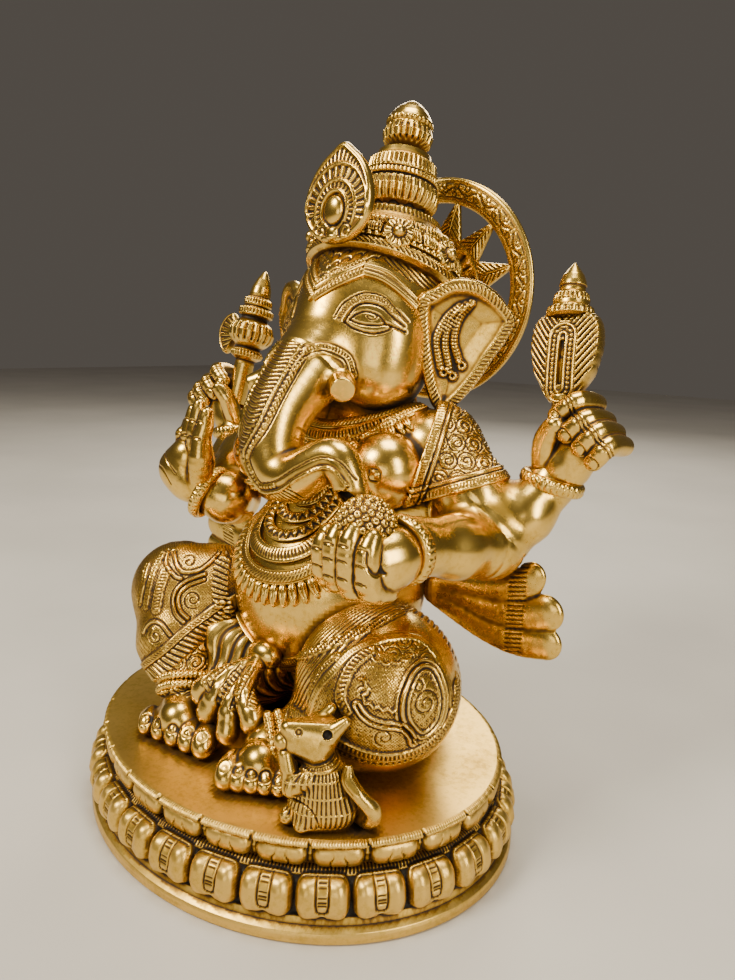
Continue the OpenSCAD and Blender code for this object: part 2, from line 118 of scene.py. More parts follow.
def blend(a, b, k):
    """The union of two fields, rounded over about k."""
    h = np.clip(k - np.abs(a - b), 0, None) / k
    return np.minimum(a, b) - h * h * k / 4


def carve(a, b, k):
    """Field a with b cut out of it, the edge rounded over about k."""
    return -blend(-a, b, k)


def limb(p, path, k=2.0):
    """Bones through the points of path, each x, y, z and radius."""
    path = np.asarray(path, float)
    d = np.full(len(p), FAR)
    for a, b in zip(path[:-1], path[1:]):
        d = blend(d, bone(p, a[:3], b[:3], a[3], b[3]), k)
    return d


def smooth(points, n, closed=False):
    """n samples of the smooth curve through the points."""
    pts = np.asarray(points, float)
    if closed:
        pts = np.vstack([pts[-1:], pts, pts[:2]])
    else:
        pts = np.vstack([2 * pts[0] - pts[1], pts, 2 * pts[-1] - pts[-2]])
    spans = len(pts) - 3
    t = np.linspace(0, spans, n, endpoint=not closed)
    i = np.minimum(t.astype(int), spans - 1)
    u = (t - i)[:, None]
    p0, p1, p2, p3 = pts[i], pts[i + 1], pts[i + 2], pts[i + 3]
    return 0.5 * (2 * p1 + (p2 - p0) * u + (2 * p0 - 5 * p1 + 4 * p2 - p3) * u**2
                  + (3 * p1 - p0 - 3 * p2 + p3) * u**3)


def gradient(form, p, h=0.05):
    return unit(np.stack([form(p + h * a) - form(p - h * a) for a in (X, Y, Z)], -1))


def settle(form, p, rounds=3):
    """Moves points onto the surface of form."""
    for _ in range(rounds):
        p = p - gradient(form, p) * form(p)[:, None]
    return p


# ---------------------------------------------------------------- patterns

def line(d, w):
    """1 on a line, falling to 0 at the distance w from it."""
    return np.clip(1 - (d / w) ** 2, 0, 1) ** 2


def step(x, a, b):
    t = np.clip((x - a) / (b - a), 0, 1)
    return t * t * (3 - 2 * t)


def band(x, a, b, soft=0.4):
    """1 between a and b."""
    return step(x, a - soft, a + soft) * (1 - step(x, b - soft, b + soft))


def near(u, pitch):
    """Signed distance to the nearest of marks that are pitch apart."""
    return (u / pitch - np.round(u / pitch)) * pitch


def hatch(u, pitch, w=0.45):
    """Cut lines, one each pitch, that reach w of it to each side."""
    return line(near(u, pitch), w * pitch)


def beads(u, v, pitch, r):
    """Height of a row of half balls along v = 0."""
    return np.sqrt(np.clip(r * r - near(u, pitch) ** 2 - v * v, 0, None))


def curl(u, v, r, turns, hand=1, w=0.5):
    """Cut spiral about (0, 0) that reaches radius r."""
    rho = np.hypot(u, v)
    pitch = r / turns
    d = near(rho - hand * pitch * np.arctan2(v, u) / TAU, pitch)
    return line(d, w) * (rho < r) * (rho > 0.15 * r)


def scrolls(u, v, cell, turns=1.6, w=0.5):
    """A field of cut spirals that turn in alternate directions, ringed by arcs."""
    row = np.round(v / cell)
    u = u + cell / 2 * (row % 2)
    hand = np.where((np.round(u / cell) + row) % 2 == 0, 1, -1)
    du, dv = near(u, cell), near(v, cell)
    inner = curl(du, dv, 0.42 * cell, turns, hand, w)
    ring = line(np.hypot(du, dv) - 0.49 * cell, w)
    return np.maximum(inner, ring)


def dome(d, r):
    """Height, as a share of its own, of a boss with the radius r."""
    return np.sqrt(np.clip(1 - (d / r) ** 2, 0, 1))


def crescents(u, v, pitch, w=0.4):
    """Staggered rows of cut crescents, like scales."""
    row = np.floor(v / pitch)
    du = near(u + pitch / 2 * (row % 2), pitch)
    dv = v - (row + 0.1) * pitch
    return line(np.hypot(du, dv) - 0.45 * pitch, w)


# ---------------------------------------------------------------- meshes

SKIP = 4            # grid steps between the places where a field is worked out first
CLOSE = 7           # grid steps from the surface within which it is worked out everywhere
BATCH = 400000      # places worked out at once


def grid_mesh(form, lo, hi, h):
    """Quads of the surface of form inside a box. The field is worked out closely only near it."""
    lo, hi = np.asarray(lo, float) - 2 * h, np.asarray(hi, float) + 2 * h
    n = np.ceil((hi - lo) / h).astype(int) // SKIP * SKIP + SKIP + 1
    coarse = [lo[i] + SKIP * h * np.arange((n[i] - 1) // SKIP + 1) for i in range(3)]
    c = np.stack(np.meshgrid(*coarse, indexing="ij"), -1).reshape(-1, 3)
    d = form(c).reshape([len(a) for a in coarse])
    for axis in range(3):
        steps = np.arange(n[axis]) / SKIP
        i = np.minimum(steps.astype(int), d.shape[axis] - 2)
        t = np.expand_dims(steps - i, [other for other in range(3) if other != axis])
        d = np.take(d, i, axis) * (1 - t) + np.take(d, i + 1, axis) * t
    close = np.argwhere(np.abs(d) < CLOSE * h)
    p = lo + close * h
    for part in np.array_split(np.arange(len(p)), max(1, len(p) // BATCH)):
        d[tuple(close[part].T)] = form(p[part])
    grid = vdb.FloatGrid(10.0)
    grid.copyFromArray(np.ascontiguousarray(d, np.float32))
    verts, quads = grid.convertToQuads(0.0)
    verts = verts.astype(float) * h + lo
    return settle(form, verts, 2), quads.astype(int)


def ring_mesh(rows, closed_along=False):
    """Quads over rows of points; each row is a closed ring. Ends are capped to a point."""
    n, m = rows.shape[:2]
    verts = rows.reshape(-1, 3)
    last = n if closed_along else n - 1
    i, j = np.meshgrid(np.arange(last), np.arange(m), indexing="ij")
    row, next_row, next_j = i * m, (i + 1) % n * m, (j + 1) % m
    quads = np.stack([row + j, row + next_j, next_row + next_j, next_row + j], -1).reshape(-1, 4)
    if closed_along:
        return outward(verts, quads)
    ends = np.stack([rows[0].mean(0), rows[-1].mean(0)])
    k = np.arange(m)
    after = (k + 1) % m
    top = (n - 1) * m
    first = np.stack([np.full(m, n * m), after, k, k], -1)
    final = np.stack([np.full(m, n * m + 1), top + k, top + after, top + after], -1)
    return outward(np.vstack([verts, ends]), np.vstack([quads, first, final]))


def outward(v, q):
    """The same closed mesh with its faces turned to the outside."""
    a, b, c, d = (v[q[:, k]] - v.mean(0) for k in range(4))
    volume = sum(np.einsum("ij,ij->", a + c, np.cross(e - a, f - a)) for e, f in ((b, c), (c, d)))
    if volume > 0:
        return v, q
    triangle = q[:, 2] == q[:, 3]
    return v, np.where(triangle[:, None], q[:, [0, 2, 1, 1]], q[:, ::-1])


def distances(path):
    """How far along a path each of its points lies."""
    return np.r_[0, np.cumsum(length(np.diff(path, axis=0)))]


def sampled(profile, n):
    """n or more samples along a profile of two columns, corners included, and its direction there."""
    profile = np.asarray(profile, float)
    corners = distances(profile)
    s = np.unique(np.r_[np.linspace(0, corners[-1], n), corners])
    columns = [np.interp(s, corners, profile[:, k]) for k in range(2)]
    slopes = [np.gradient(c, s) for c in columns]
    size = np.maximum(np.hypot(*slopes), TINY)
    return s, columns, [slope / size for slope in slopes]


def turned(profile, around, along, relief=None, axes=np.eye(3), at=(0, 0, 0)):
    """A turned form. profile is radius and height; relief(turn, height) adds to it along its
    normal, where turn goes from 0 to 1."""
    s, (r, z), (dr, dz) = sampled(profile, max(8, int(along * SPARSE)))
    turn = np.arange(int(around * SPARSE)) / int(around * SPARSE)
    h = 0 if relief is None else relief(turn[None], z[:, None])
    h = h + np.zeros((len(s), len(turn)))
    radius = np.maximum(r[:, None] + h * dz[:, None], 0)
    height = z[:, None] - h * dr[:, None]
    p = np.stack([radius * np.cos(TAU * turn), radius * np.sin(TAU * turn), height], -1)
    return ring_mesh(p @ np.asarray(axes).T + np.asarray(at, float))


def frames(path, normals=None, closed=False):
    """Tangent, side and normal at each point of a path."""
    if closed:
        t = unit(np.roll(path, -1, 0) - np.roll(path, 1, 0))
    else:
        t = unit(np.gradient(path, axis=0))
    if normals is None:
        normals = np.zeros_like(path)
        normals[0] = np.cross(t[0], X if abs(t[0] @ X) < 0.8 else Y)
        for i in range(1, len(path)):
            normals[i] = unit(normals[i - 1] - t[i] * (normals[i - 1] @ t[i]))
    n = unit(normals - t * np.einsum("ij,ij->i", normals, t)[:, None])
    return t, np.cross(t, n), n


def swept(path, width, height, around=24, relief=None, normals=None, closed=False):
    """A rod of oval section along a path. relief(s, angle, side) adds to its radius, where s is
    the distance along it, and side the distance across it, counted from its outer middle."""
    path = np.asarray(path, float)
    _, side, n = frames(path, normals, closed)
    s = distances(path)
    a = angles(around)
    w = np.broadcast_to(width, len(path))[:, None]
    h = np.broadcast_to(height, len(path))[:, None]
    u, v = w * np.cos(a), h * np.sin(a)
    add = 0 if relief is None else relief(s[:, None], a[None], u)
    grow = 1 + add / np.maximum(np.hypot(u, v), TINY)
    p = path[:, None] + (u * grow)[..., None] * side[:, None] + (v * grow)[..., None] * n[:, None]
    return ring_mesh(p, closed)


def joined(*meshes):
    verts, quads, n = [], [], 0
    for v, q in meshes:
        verts.append(v)
        quads.append(q + n)
        n += len(v)
    return np.vstack(verts), np.vstack(quads)


def mesh_normals(v, q):
    a, b, c, d = (v[q[:, k]] for k in range(4))
    f = np.cross(c - a, d - b)
    n = np.stack([sum(np.bincount(q[:, k], f[:, i], len(v)) for k in range(4)) for i in range(3)], -1)
    return unit(n)


def hollowness(v, q, n, rounds):
    """How far each point lies below the smoothed surface, in mm: positive in a recess."""
    a, b = np.vstack([q[:, [k, (k + 1) % 4]] for k in range(4)]).T
    real = a != b
    a, b = a[real], b[real]
    count = np.maximum(np.bincount(a, minlength=len(v)) + np.bincount(b, minlength=len(v)), 1)
    w = v.copy()
    for _ in range(rounds):
        w = np.stack([(np.bincount(a, w[b, i], len(v)) + np.bincount(b, w[a, i], len(v))) / count
                      for i in range(3)], -1)
    return np.einsum("ij,ij->i", w - v, n)


PIECES = []


def piece(name, mesh, finish="polished"):
    """Keeps a finished mesh, which replaces the CAD node of its name."""
    v, q = mesh
    PIECES.append({"name": name, "v": v, "q": q, "finish": finish})


def sculpted(name, form, lo, hi, h, relief=None, finish="polished"):
    """Keeps the surface of a form, sampled at step h. relief(points, normals) pushes it outwards."""
    v, q = grid_mesh(form, lo, hi, h)
    if relief is not None:
        n = gradient(form, v)
        v = v + n * relief(v, n)[:, None]
    piece(name, (v, q), finish)


# ---------------------------------------------------------------- maps on surfaces

def chart(p, at, out, wrap=False):
    """Distances to the right, up and out from a point, as seen from outside. With wrap they follow
    the ball round that point."""
    out = unit(out)
    right = unit(np.cross(Z, out))
    q = p - at
    u, v, w = q @ right, q @ np.cross(out, right), q @ out
    if wrap:
        flat = np.maximum(np.hypot(u, v), TINY)
        far = length(q) * np.arctan2(flat, w)
        u, v = u / flat * far, v / flat * far
    return u, v, w


def follow(u, v, points, n=48, closed=False):
    """Signed distance to the left of a smooth flat curve, and the distance along it."""
    c = smooth(points, n, closed)
    if closed:
        c = np.vstack([c, c[:1]])
    s0 = distances(c)
    best = np.full(u.shape, FAR)
    side = np.zeros(u.shape)
    s = np.zeros(u.shape)
    for a, b, sa, sb in zip(c[:-1], c[1:], s0[:-1], s0[1:]):
        ab = b - a
        size = np.hypot(*ab)
        t = ((u - a[0]) * ab[0] + (v - a[1]) * ab[1]) / size**2
        k = np.clip(t, 0, 1)
        du, dv = u - a[0] - k * ab[0], v - a[1] - k * ab[1]
        d = np.hypot(du, dv)
        closer = d < best
        best = np.where(closer, d, best)
        side = np.where(closer, np.where(ab[0] * dv - ab[1] * du > 0, d, -d), side)
        s = np.where(closer, sa + k * (sb - sa), s)
    return side, s


def strap(d, s, w, pitch, proud=0.7, slant=0.0):
    """A raised band about d = 0 with cut lines across it and a plain border along each edge."""
    inner = w / 2 - 0.9
    h = proud * band(d, -w / 2, w / 2, 0.3)
    h = h - 0.55 * hatch(s + slant * d, pitch) * band(d, -inner, inner, 0.2)
    return h - 0.45 * line(np.abs(d) - inner - 0.15, 0.4)


def track(p, path):
    """Distance along a 3-D path, distance across it to its side and outwards."""
    best = np.full(len(p), FAR)
    nearest = np.zeros(len(p), int)
    for i, c in enumerate(path):
        d = length(p - c)
        nearest = np.where(d < best, i, nearest)
        best = np.minimum(d, best)
    q = p - path[nearest]
    ahead, side, out = (np.einsum("ij,ij->i", q, way[nearest]) for way in frames(path))
    return distances(path)[nearest] + ahead, side, out


def folded(p):
    """Points with the figure's right side laid onto its left."""
    return np.stack([np.abs(p[:, 0]), p[:, 1], p[:, 2]], -1)


def flip(p, side):
    """Points as they lie on the left for side 1, or mirrored to the right for side -1."""
    p = np.array(p, float)
    p[..., 0] *= side
    return p


# ---------------------------------------------------------------- torso and limbs

DECK = box("base_deck_tier")[1][2]
BELLY, BELLY_R = vec(0, 21.7, 97.5), 45
CHEST, CHEST_R = vec(0, 40, 148), 33
BREAST, BREAST_R = vec(34.5, 14, 157), 16.5
ELBOW = vec(77, 29, 131)
PAST_ELBOW = 6        # from the elbow to where a forearm's casting starts
ARM = vec([46, 38, 166, 17], [67, 33, 147, 15], [77, 29, 131, 14])
REAR_WRIST, REAR_FIST = vec(94, 49, 156), vec(97.5, 51, 173)
REAR = vec([77, 29, 131, 13.2], [87, 40, 143, 12], [94, 49, 156, 9.6], [95, 50, 163, 9])
FRONT_LEFT = vec([77, 29, 131, 13], [74, 8, 133, 12.4], [68, -12, 136, 10.6], [66, -19, 136, 10])
FRONT_RIGHT = vec([-77, 29, 131, 14], [-66, 19, 129, 14.5], [-58, 8, 131, 12.5], [-65, 1, 135.5, 9.8])
LEFT_KNEE, LEFT_KNEE_R = vec(50, -7, 71.5), 34
RIGHT_KNEE, RIGHT_KNEE_R = vec(-64, -15, 88), 23
TO_VIEWER = vec(0.58, -0.78, 0.24)      # the way out of the surfaces that face the camera


def torso(p):
    """Belly, chest, neck, shoulders and breasts."""
    q = folded(p)
    d = blend(ball(q, BELLY, BELLY_R), ball(q, CHEST, CHEST_R), 18)
    d = blend(d, bone(q, vec(0, 42, 170), vec(0, 44, 190), 25, 24), 8)
    d = blend(d, bone(q, vec(12, 38, 160), vec(42, 38, 163), 26, 19), 8)
    d = blend(d, bone(q, vec(22, 42, 138), vec(54, 35, 141), 24, 14), 6)
    return blend(d, ball(q, BREAST, BREAST_R), 3)


def torso_relief(p, n):
    u, v, w = chart(folded(p), BREAST, vec(0.35, -1, 0.05))
    nipple = np.hypot(u, v)
    return (0.4 * line(nipple, 1.8) - 0.5 * line(nipple - 2.6, 0.5)) * (w > 0)


def arm(p, side):
    """The upper arm and its two forearms."""
    q = flip(p, side)
    front = flip(FRONT_LEFT if side > 0 else FRONT_RIGHT, side)
    d = limb(q, ARM, 5)
    d = blend(d, limb(q, REAR, 4), 6)
    return blend(d, limb(q, front, 4), 6)


def cut(body, past):
    """The body where past is negative, eased in at the cut so that two halves meet in a fine seam."""
    return np.maximum(body + 0.35 * np.clip((past + 2) / 2, 0, 1), past - 1)


def arm_part(part, side):
    """The field of one part of an arm, cut from the whole arm so that its joints are smooth."""
    rear = unit(flip(REAR_WRIST - ELBOW, side))
    front_end = (FRONT_LEFT if side > 0 else FRONT_RIGHT)[2, :3]
    front = unit(front_end - flip(ELBOW, side))

    def form(p):
        q = p - flip(ELBOW, side)
        to_rear, to_front = q @ rear - PAST_ELBOW, q @ front - PAST_ELBOW
        if part == "rear":
            return cut(arm(p, side), -to_rear)
        if part == "front":
            return cut(cut(arm(p, side), -to_front), to_rear)
        return cut(cut(arm(p, side), to_front), to_rear)
    return form


def left_leg(p):
    d = limb(p, [[30, 20, 66, 27], [44, 2, 70, 32]], 10)
    d = blend(d, egg(p, LEFT_KNEE, (LEFT_KNEE_R, LEFT_KNEE_R, LEFT_KNEE_R - 1)), 8)
    d = blend(d, limb(p, [[38, -22, 55, 17], [27, -33, 50, 12], [20, -40, 48, 9.5]], 4), 8)
    return np.maximum(d, DECK - p[:, 2])


def right_leg(p):
    d = limb(p, [[-34, 16, 66, 25], [-52, -2, 82, 25], [-64, -15, 88, RIGHT_KNEE_R]], 8)
    d = blend(d, limb(p, [[-63, -17, 86, 21], [-52, -27, 68, 18.5], [-38, -34, 54, 12],
                          [-32, -38, 49, 11]], 5), 6)
    return np.maximum(d, DECK - p[:, 2])


def seat(p):
    d = egg(p, vec(0, 34, 58), (60, 34, 30))
    d = blend(d, limb(p, [[-20, -4, 60, 20], [-42, -12, 70, 18]], 8), 8)
    d = blend(d, ball(p, vec(-24, -22, 50), 14), 8)
    return np.maximum(d, DECK - p[:, 2])


# ---------------------------------------------------------------- head

EYE, EYE_OUT = vec(18.8, 18.3, 218.9), vec(0.7, -0.71, 0.08)
TRUNK = vec([0, 24, 222, 19], [0, 17, 208, 19.5], [0, 0, 195, 16], [0, -15, 180, 13.5],
            [2, -21, 167, 12.3], [8, -23, 158, 10.8], [17, -23, 157, 9.8], [26, -22.5, 162, 8.8],
            [33, -21.5, 166.5, 7.6], [38.5, -21, 165.5, 7.2], [43, -21.5, 160, 6.5], [45.5, -22, 154, 6.2])
TRUNK_CUT, TRUNK_DOWN = vec(0, 1, 197), unit(vec(0, -0.78, -0.63))
TRUNK_LINE = smooth(TRUNK, 110)


def face(p):
    """The whole head with its trunk, eye mounds, tusk roots and mouth."""
    q = folded(p)
    d = egg(q, vec(0, 50, 222), (36.5, 37, 34))
    d = blend(d, egg(q, vec(17, 32, 199), (19.5, 21, 21)), 16)
    d = blend(d, ball(q, vec(20, 31, 214), 13), 10)
    d = blend(d, ball(q, vec(0, 42, 236), 23), 6)
    d = blend(d, limb(p, TRUNK_LINE[::2], 0.8), 9)
    d = blend(d, egg(q, EYE - 4.5 * unit(EYE_OUT), (9, 8, 6.5)), 3)
    tusk_root = limb(q, [[12, 10, 197, 7], [15, 4, 193, 6.6]], 2)
    d = blend(d, tusk_root, 4)
    mouth = limb(p, [[45, -24, 154, 4.4], [45.5, -30, 147, 7]], 1)
    return carve(d, mouth, 1)


def head(p):
    return cut(face(p), (p - TRUNK_CUT) @ TRUNK_DOWN)


def trunk(p):
    return cut(face(p), -(p - TRUNK_CUT) @ TRUNK_DOWN)


# cut lines of the eye: depth, width, and places to the right of and above its middle
EYE_LINES = (
    (1.0, 0.8, [(-8.1, -0.8), (-5.4, 1.5), (-1.3, 2.9), (4.1, 1.2), (6.8, -2.3)]),
    (0.9, 0.7, [(-8.1, -0.8), (-3.4, -2.5), (2.7, -2.9), (6.8, -2.3)]),
    (1.0, 0.8, [(-10.2, -1.8), (-6.1, -4.5), (1.4, -6.3), (8.2, -4.5), (9, -3)]),
    (1.0, 0.9, [(7.5, -2.3), (15.3, -5.1)]),
    (1.0, 0.7, [(-10.2, -1.7), (-6.1, 4.3), (-1.3, 6.2), (4.8, 5.2), (9.5, 1.2), (15, -2.8)]),
    (0.9, 0.6, [(-14.3, 0), (-10.2, 6.3), (-2, 10.6), (6.1, 9.5), (10.9, 4.6), (16.7, -0.8)]))


def head_relief(p, n):
    """Cut eye and brow, and the worked hair above the headband."""
    q = folded(p)
    facing = (q - vec(0, 50, 218)) @ vec(0.3, -1, 0) > 8
    u, v, _ = chart(q, EYE, EYE_OUT)
    u = np.where(facing, u, 99)
    h = -0.6 * line(np.hypot(u - 1.2, v - 1.6) - 2.2, 0.5) * (v < 1.4)
    for depth, width, places in EYE_LINES:
        h -= depth * line(follow(u, v, places)[0], width)
    brow, s = follow(u, v, [(-12.3, 0), (-8.4, 5.4), (-1.8, 8.5), (5.4, 7.5), (10, 3)])
    return h + strap(brow, s, 3.0, 1.2, 0.5, 0.3) + scalp_relief(q) + tusk_border(q)


def tusk_border(q):
    """A hatched border that runs from the trunk's edge over the tusk."""
    u, v, w = chart(q, vec(14, 4, 195), TO_VIEWER)
    d, s = follow(u, v, [(-17, 2), (-12.5, 8), (-4.6, 10.8), (4.5, 8), (7.5, 1)])
    return (strap(d, s, 2.8, 1.3, 0.8) + 0.6 * line(d + 2.6, 0.7)) * (w > -12)


def scalp_relief(q):
    """Worked hair between the headband and the crown, in front of the ears."""
    above = q[:, 2] - band_height(q[:, 0]) - 3.4
    hair = (above > 0) & (q[:, 1] < 52)
    parted = q[:, 0] < BROW_PEAK[0] + 1
    scale = crescents(q[:, 0] * 1.1, q[:, 2] - 0.5 * q[:, 0], 4.2, 0.55)
    comb = hatch(q[:, 2] + 0.9 * q[:, 0] + 0.35 * q[:, 1], 2.0, 0.36)
    return hair * -0.6 * np.where(parted, scale, comb)


BROW_TIP, BROW_PEAK, TEMPLE = (0, 226.5), (18, 241.5), (37, 226)


def band_height(x):
    """Height of the headband's lower edge at a distance from the middle."""
    return np.interp(x, *zip(BROW_TIP, BROW_PEAK, TEMPLE))


RIDGE = smooth(vec([0, -3, 208], [0, -18, 193], [-1, -29, 178], [-6, -32, 162], [4, -35, 147],
                   [18, -34, 148], [30, -32, 156], [38, -29, 160], [44, -29, 156]), 70)


def trunk_relief(p, n):
    """A band of chevrons between cords and studs down the outside of the curl, and wrinkles beside it."""
    along, _, _ = track(p, TRUNK_LINE[:, :3])
    s, side, out = track(p, RIDGE)
    total = s.max()
    half = 6.6 - 2.6 * np.clip(s / total, 0, 1)
    edge, across = np.abs(side) - half, np.abs(side / half)
    banded = (np.abs(out) < 10) & (s > 0.5) & (s < 0.95 * total)
    chevron = hatch(s + 2.2 * across**1.5, 2.0, 0.4) * (across < 0.8) * (s < 0.76 * total)
    studs = beads(s, edge - 2, 2.0, 0.95) * (s < 0.7 * total)
    h = banded * ((edge < 0) * (0.5 - 0.75 * chevron) + 0.7 * line(edge, 0.8) + 0.8 * studs
                  - 0.5 * line(edge - 3.6, 0.5))
    fan = hatch(np.arctan2(p[:, 0], p[:, 2] - 196) * 10, 2.2, 0.36)
    fan = fan * band(length(p - vec(0, -4, 206)), 6, 12, 0.5) * (s < 4)
    wrinkle = hatch(along, 6.5, 0.14) * (along > 60) * (along < 96) * ~banded
    return h - 0.2 * wrinkle - 0.4 * fan + tusk_border(folded(p))


# ---------------------------------------------------------------- ears

EAR_AT = vec(51, 46, 210)
EAR_U = unit(vec(30, 20, 3))
EAR_N = unit(np.cross(EAR_U, Z))
EAR_V = np.cross(EAR_N, EAR_U)
EAR_EDGE = [(-19, 16), (-13, 22), (-4, 26), (8, 23), (20, 11), (17, 2), (11, -6), (4, -16), (-6, -26),
            (-12, -27), (-15, -22), (-18, -8)]


def ear_map(p):
    q = folded(p) - EAR_AT
    return q @ EAR_U, q @ EAR_V, q @ EAR_N


def ear(p):
    """A thin bowl inside a thick lip; d is negative inside the outline, which runs clockwise."""
    u, v, w = ear_map(p)
    d, _ = follow(u, v, EAR_EDGE, 44, True)
    bowl = -2.4 * np.clip(-d / 12, 0, 1) ** 0.8
    sheet = np.maximum(np.abs(w - bowl) - 1.9, d)
    lip = 2.2 + 1.2 * step(v, 14, 22) + 0.8 * step(-u, 12, 17)
    return blend(sheet, np.hypot(d + 1.6, w + 0.2) - lip, 1.4)


def ear_relief(p, n):
    """Hatching round the lip, and three beaded strands that hang inside."""
    u, v, _ = ear_map(p)
    d, s = follow(u, v, EAR_EDGE, 44, True)
    front = (n * np.where(p[:, :1] < 0, vec(-1, 1, 1), 1)) @ EAR_N > 0.2
    h = -0.5 * hatch(s + 0.5 * d, 1.9) * band(d, -5.2, 0.5, 0.3) * band(d, -3.0, 3, 0.2)
    for k in range(3):
        end = (-11 + 4 * k, -9 + 1.2 * k - 3 * (k == 1))
        e, t = follow(u, v, [(-2 + 2.4 * k, 16 + 0.5 * k), (-8 + 2.8 * k, 11), (-12.5 + 3.8 * k, 2), end])
        strand = 1.7 * dome(e, 1.7)
        ring = np.hypot(u - end[0] - 1.2, v - end[1] + 2.2) - 1.3
        h += front * (strand * (1 - 0.4 * hatch(t, 1.5, 0.4)) + 1.3 * line(ring, 1.1))
    return h


# ---------------------------------------------------------------- hands and feet

def finger(p, joints):
    """A finger through joints x, y, z and radius, a little waisted between its joints."""
    return limb(p, smooth(joints, 10), 0.6)


# knuckle, tip and radius of each finger
FIST_FINGERS = (
    (vec(105.5, 48, 190), vec(96.5, 41.5, 184.5), 4.0),
    (vec(110.5, 46, 183.5), vec(102, 39.5, 178), 4.3),
    (vec(115, 45, 179.5), vec(108.5, 38.5, 173.5), 4.2),
    (vec(119, 44.5, 175), vec(114, 38.5, 168.5), 4.0))


def fist(side):
    """The field of a rear hand, closed round its emblem's stem."""
    def form(q):
        p = flip(q, side)
        d = limb(p, [[95, 49, 158, 9], [99, 50, 164, 9.5], [105, 50, 173, 9], [102, 50, 178, 8]], 4)
        for knuckle, tip, r in FIST_FINGERS:
            back = knuckle + vec(1.5, 7, -1)
            bend = (knuckle + tip) / 2 + vec(1.5, -2.5, 2.5)
            joints = [[*back, r], [*knuckle, r + 0.3], [*bend, r], [*tip, r - 0.4]]
            d = blend(d, finger(p, joints), 0.8)
        thumb = finger(p, [[91, 47, 160, 5], [91.5, 43.5, 168, 4.9], [93, 41, 175, 4.5], [97, 39, 181, 4]])
        return blend(d, thumb, 1.0)
    return form


def fist_relief(side):
    """Two creases and a nail on each finger."""
    def relief(q, n):
        p = flip(q, side)
        h = np.zeros(len(p))
        for knuckle, tip, _ in FIST_FINGERS:
            along = (p - tip) @ unit(knuckle - tip)
            close = length(p - (knuckle + tip) / 2) < 9
            h -= 0.45 * close * (line(along - 4.2, 0.5) + line(along - 5.6, 0.5))
            h -= 0.4 * line(length(p - tip - vec(0, -2.4, -0.5)) - 2.9, 0.4)
        return np.clip(h, -0.6, 0)
    return relief


# x, y, height of the low end, height of the tip and radius of each finger
CUPPED_FINGERS = ((44, -36.5, 125.5, 142, 4), (51.8, -39.5, 126, 145, 4.1),
                  (59.8, -41, 125.6, 146.4, 4.2), (67.6, -40.5, 126.5, 145, 4.3))


def cupped_hand(p):
    """The hand that holds the heap of sweets: fingers upright in front, thumb behind."""
    d = limb(p, [[65, -16, 136, 9.5], [66.5, -25, 135, 10.5], [64, -31, 134.5, 10.5]], 4)
    d = blend(d, limb(p, [[64, -30, 130, 9.5], [50, -30, 130, 8]], 4), 4)
    for x, y, low, top, r in CUPPED_FINGERS:
        joints = [[x + 1, y + 10, low - 3, r], [x, y + 1.5, low, r + 0.4], [x, y - 0.6, (low + top) / 2, r],
                  [x, y, top - 4, r - 0.2], [x + 0.2, y + 2, top, r - 0.9]]
        d = blend(d, finger(p, joints), 0.7)
    thumb = finger(p, [[58, -16, 138, 5.4], [50, -14, 146, 4.6], [46, -16, 153, 3.8]])
    return blend(d, thumb, 1)


def cupped_relief(p, n):
    """Short creases across each finger and a cut in the heel of the hand."""
    fingers = (n[:, 1] < 0) & (p[:, 0] < 71.5)
    off = near(p[:, 0] - 44, 7.8)
    z = p[:, 2] + 0.12 * off**2 + 0.8 * np.sin(2.1 * (p[:, 0] - off))
    crease = (line(z - 130, 0.6) + line(z - 136.5, 0.6) + line(z - 142, 0.5)) * (np.abs(off) < 2.5)
    slit, _ = follow(p[:, 0], p[:, 2], [(69.5, 141), (70.4, 136.5), (72.5, 133)])
    return fingers * -0.45 * crease - 0.8 * (p[:, 1] < -24) * line(slit, 1.0)


# x, y, height of the tip and radius of each finger
RAISED_FINGERS = ((-57.5, -5, 173.5, 4.1), (-63.9, -4, 177, 4.0),
                  (-70.3, -2.5, 174, 3.8), (-76.7, -1, 167, 3.5))


def raised_hand(p):
    """The open hand raised in blessing."""
    d = limb(p, [[-64, 0, 136, 9.2], [-73, -1, 139, 10.4], [-78, -2, 144, 10.6], [-73, -2, 151, 9.6]], 5)
    for x, y, top, r in RAISED_FINGERS:
        joints = [[x - 1.5, y + 1, 150, r + 0.6], [x - 1, y - 1, 161, r + 0.1], [x, y, top - 6, r - 0.2],
                  [x + 0.4, y + 0.8, top, r - 1]]
        d = blend(d, finger(p, joints), 0.8)
    thumb = finger(p, [[-62, -4, 140, 6], [-59, -7, 150, 5.6], [-58.5, -7, 158, 4.6], [-60, -6, 163, 3.6]])
    return blend(d, thumb, 1.6)


def raised_relief(p, n):
    """Creases across the fingers and two lines in the palm."""
    off = near(p[:, 0] + 57.5, 6.4)
    z = p[:, 2] + 0.15 * off**2
    front = (n[:, 1] < 0.1) & (np.abs(off) < 2.3)
    crease = line(z - 162.5, 0.6) + line(z - 170, 0.6)
    u, v, _ = chart(p, vec(-74, -12, 146), vec(0.3, -1, 0))
    lines, _ = follow(u, v, [(-12, 6), (-5, 5), (3, -2)])
    arc, _ = follow(u, v, [(-11, 0), (-5, -1), (0, -8)])
    return -0.45 * crease * front - (n[:, 1] < 0) * (0.5 * line(lines, 0.6) + 0.4 * line(arc, 0.6))


# name, heel, first and last toe tips, and corners of the box round each foot
FEET = (
    ("left_foot", vec(22, -42, 45), vec(17, -60, 41.5), vec(37, -51, 41), (5, -72, DECK), (48, -28, 62)),
    ("right_foot", vec(-33, -38, 46), vec(-6, -52, 41.5), vec(-38, -57, 41), (-52, -70, DECK), (6, -24, 64)))


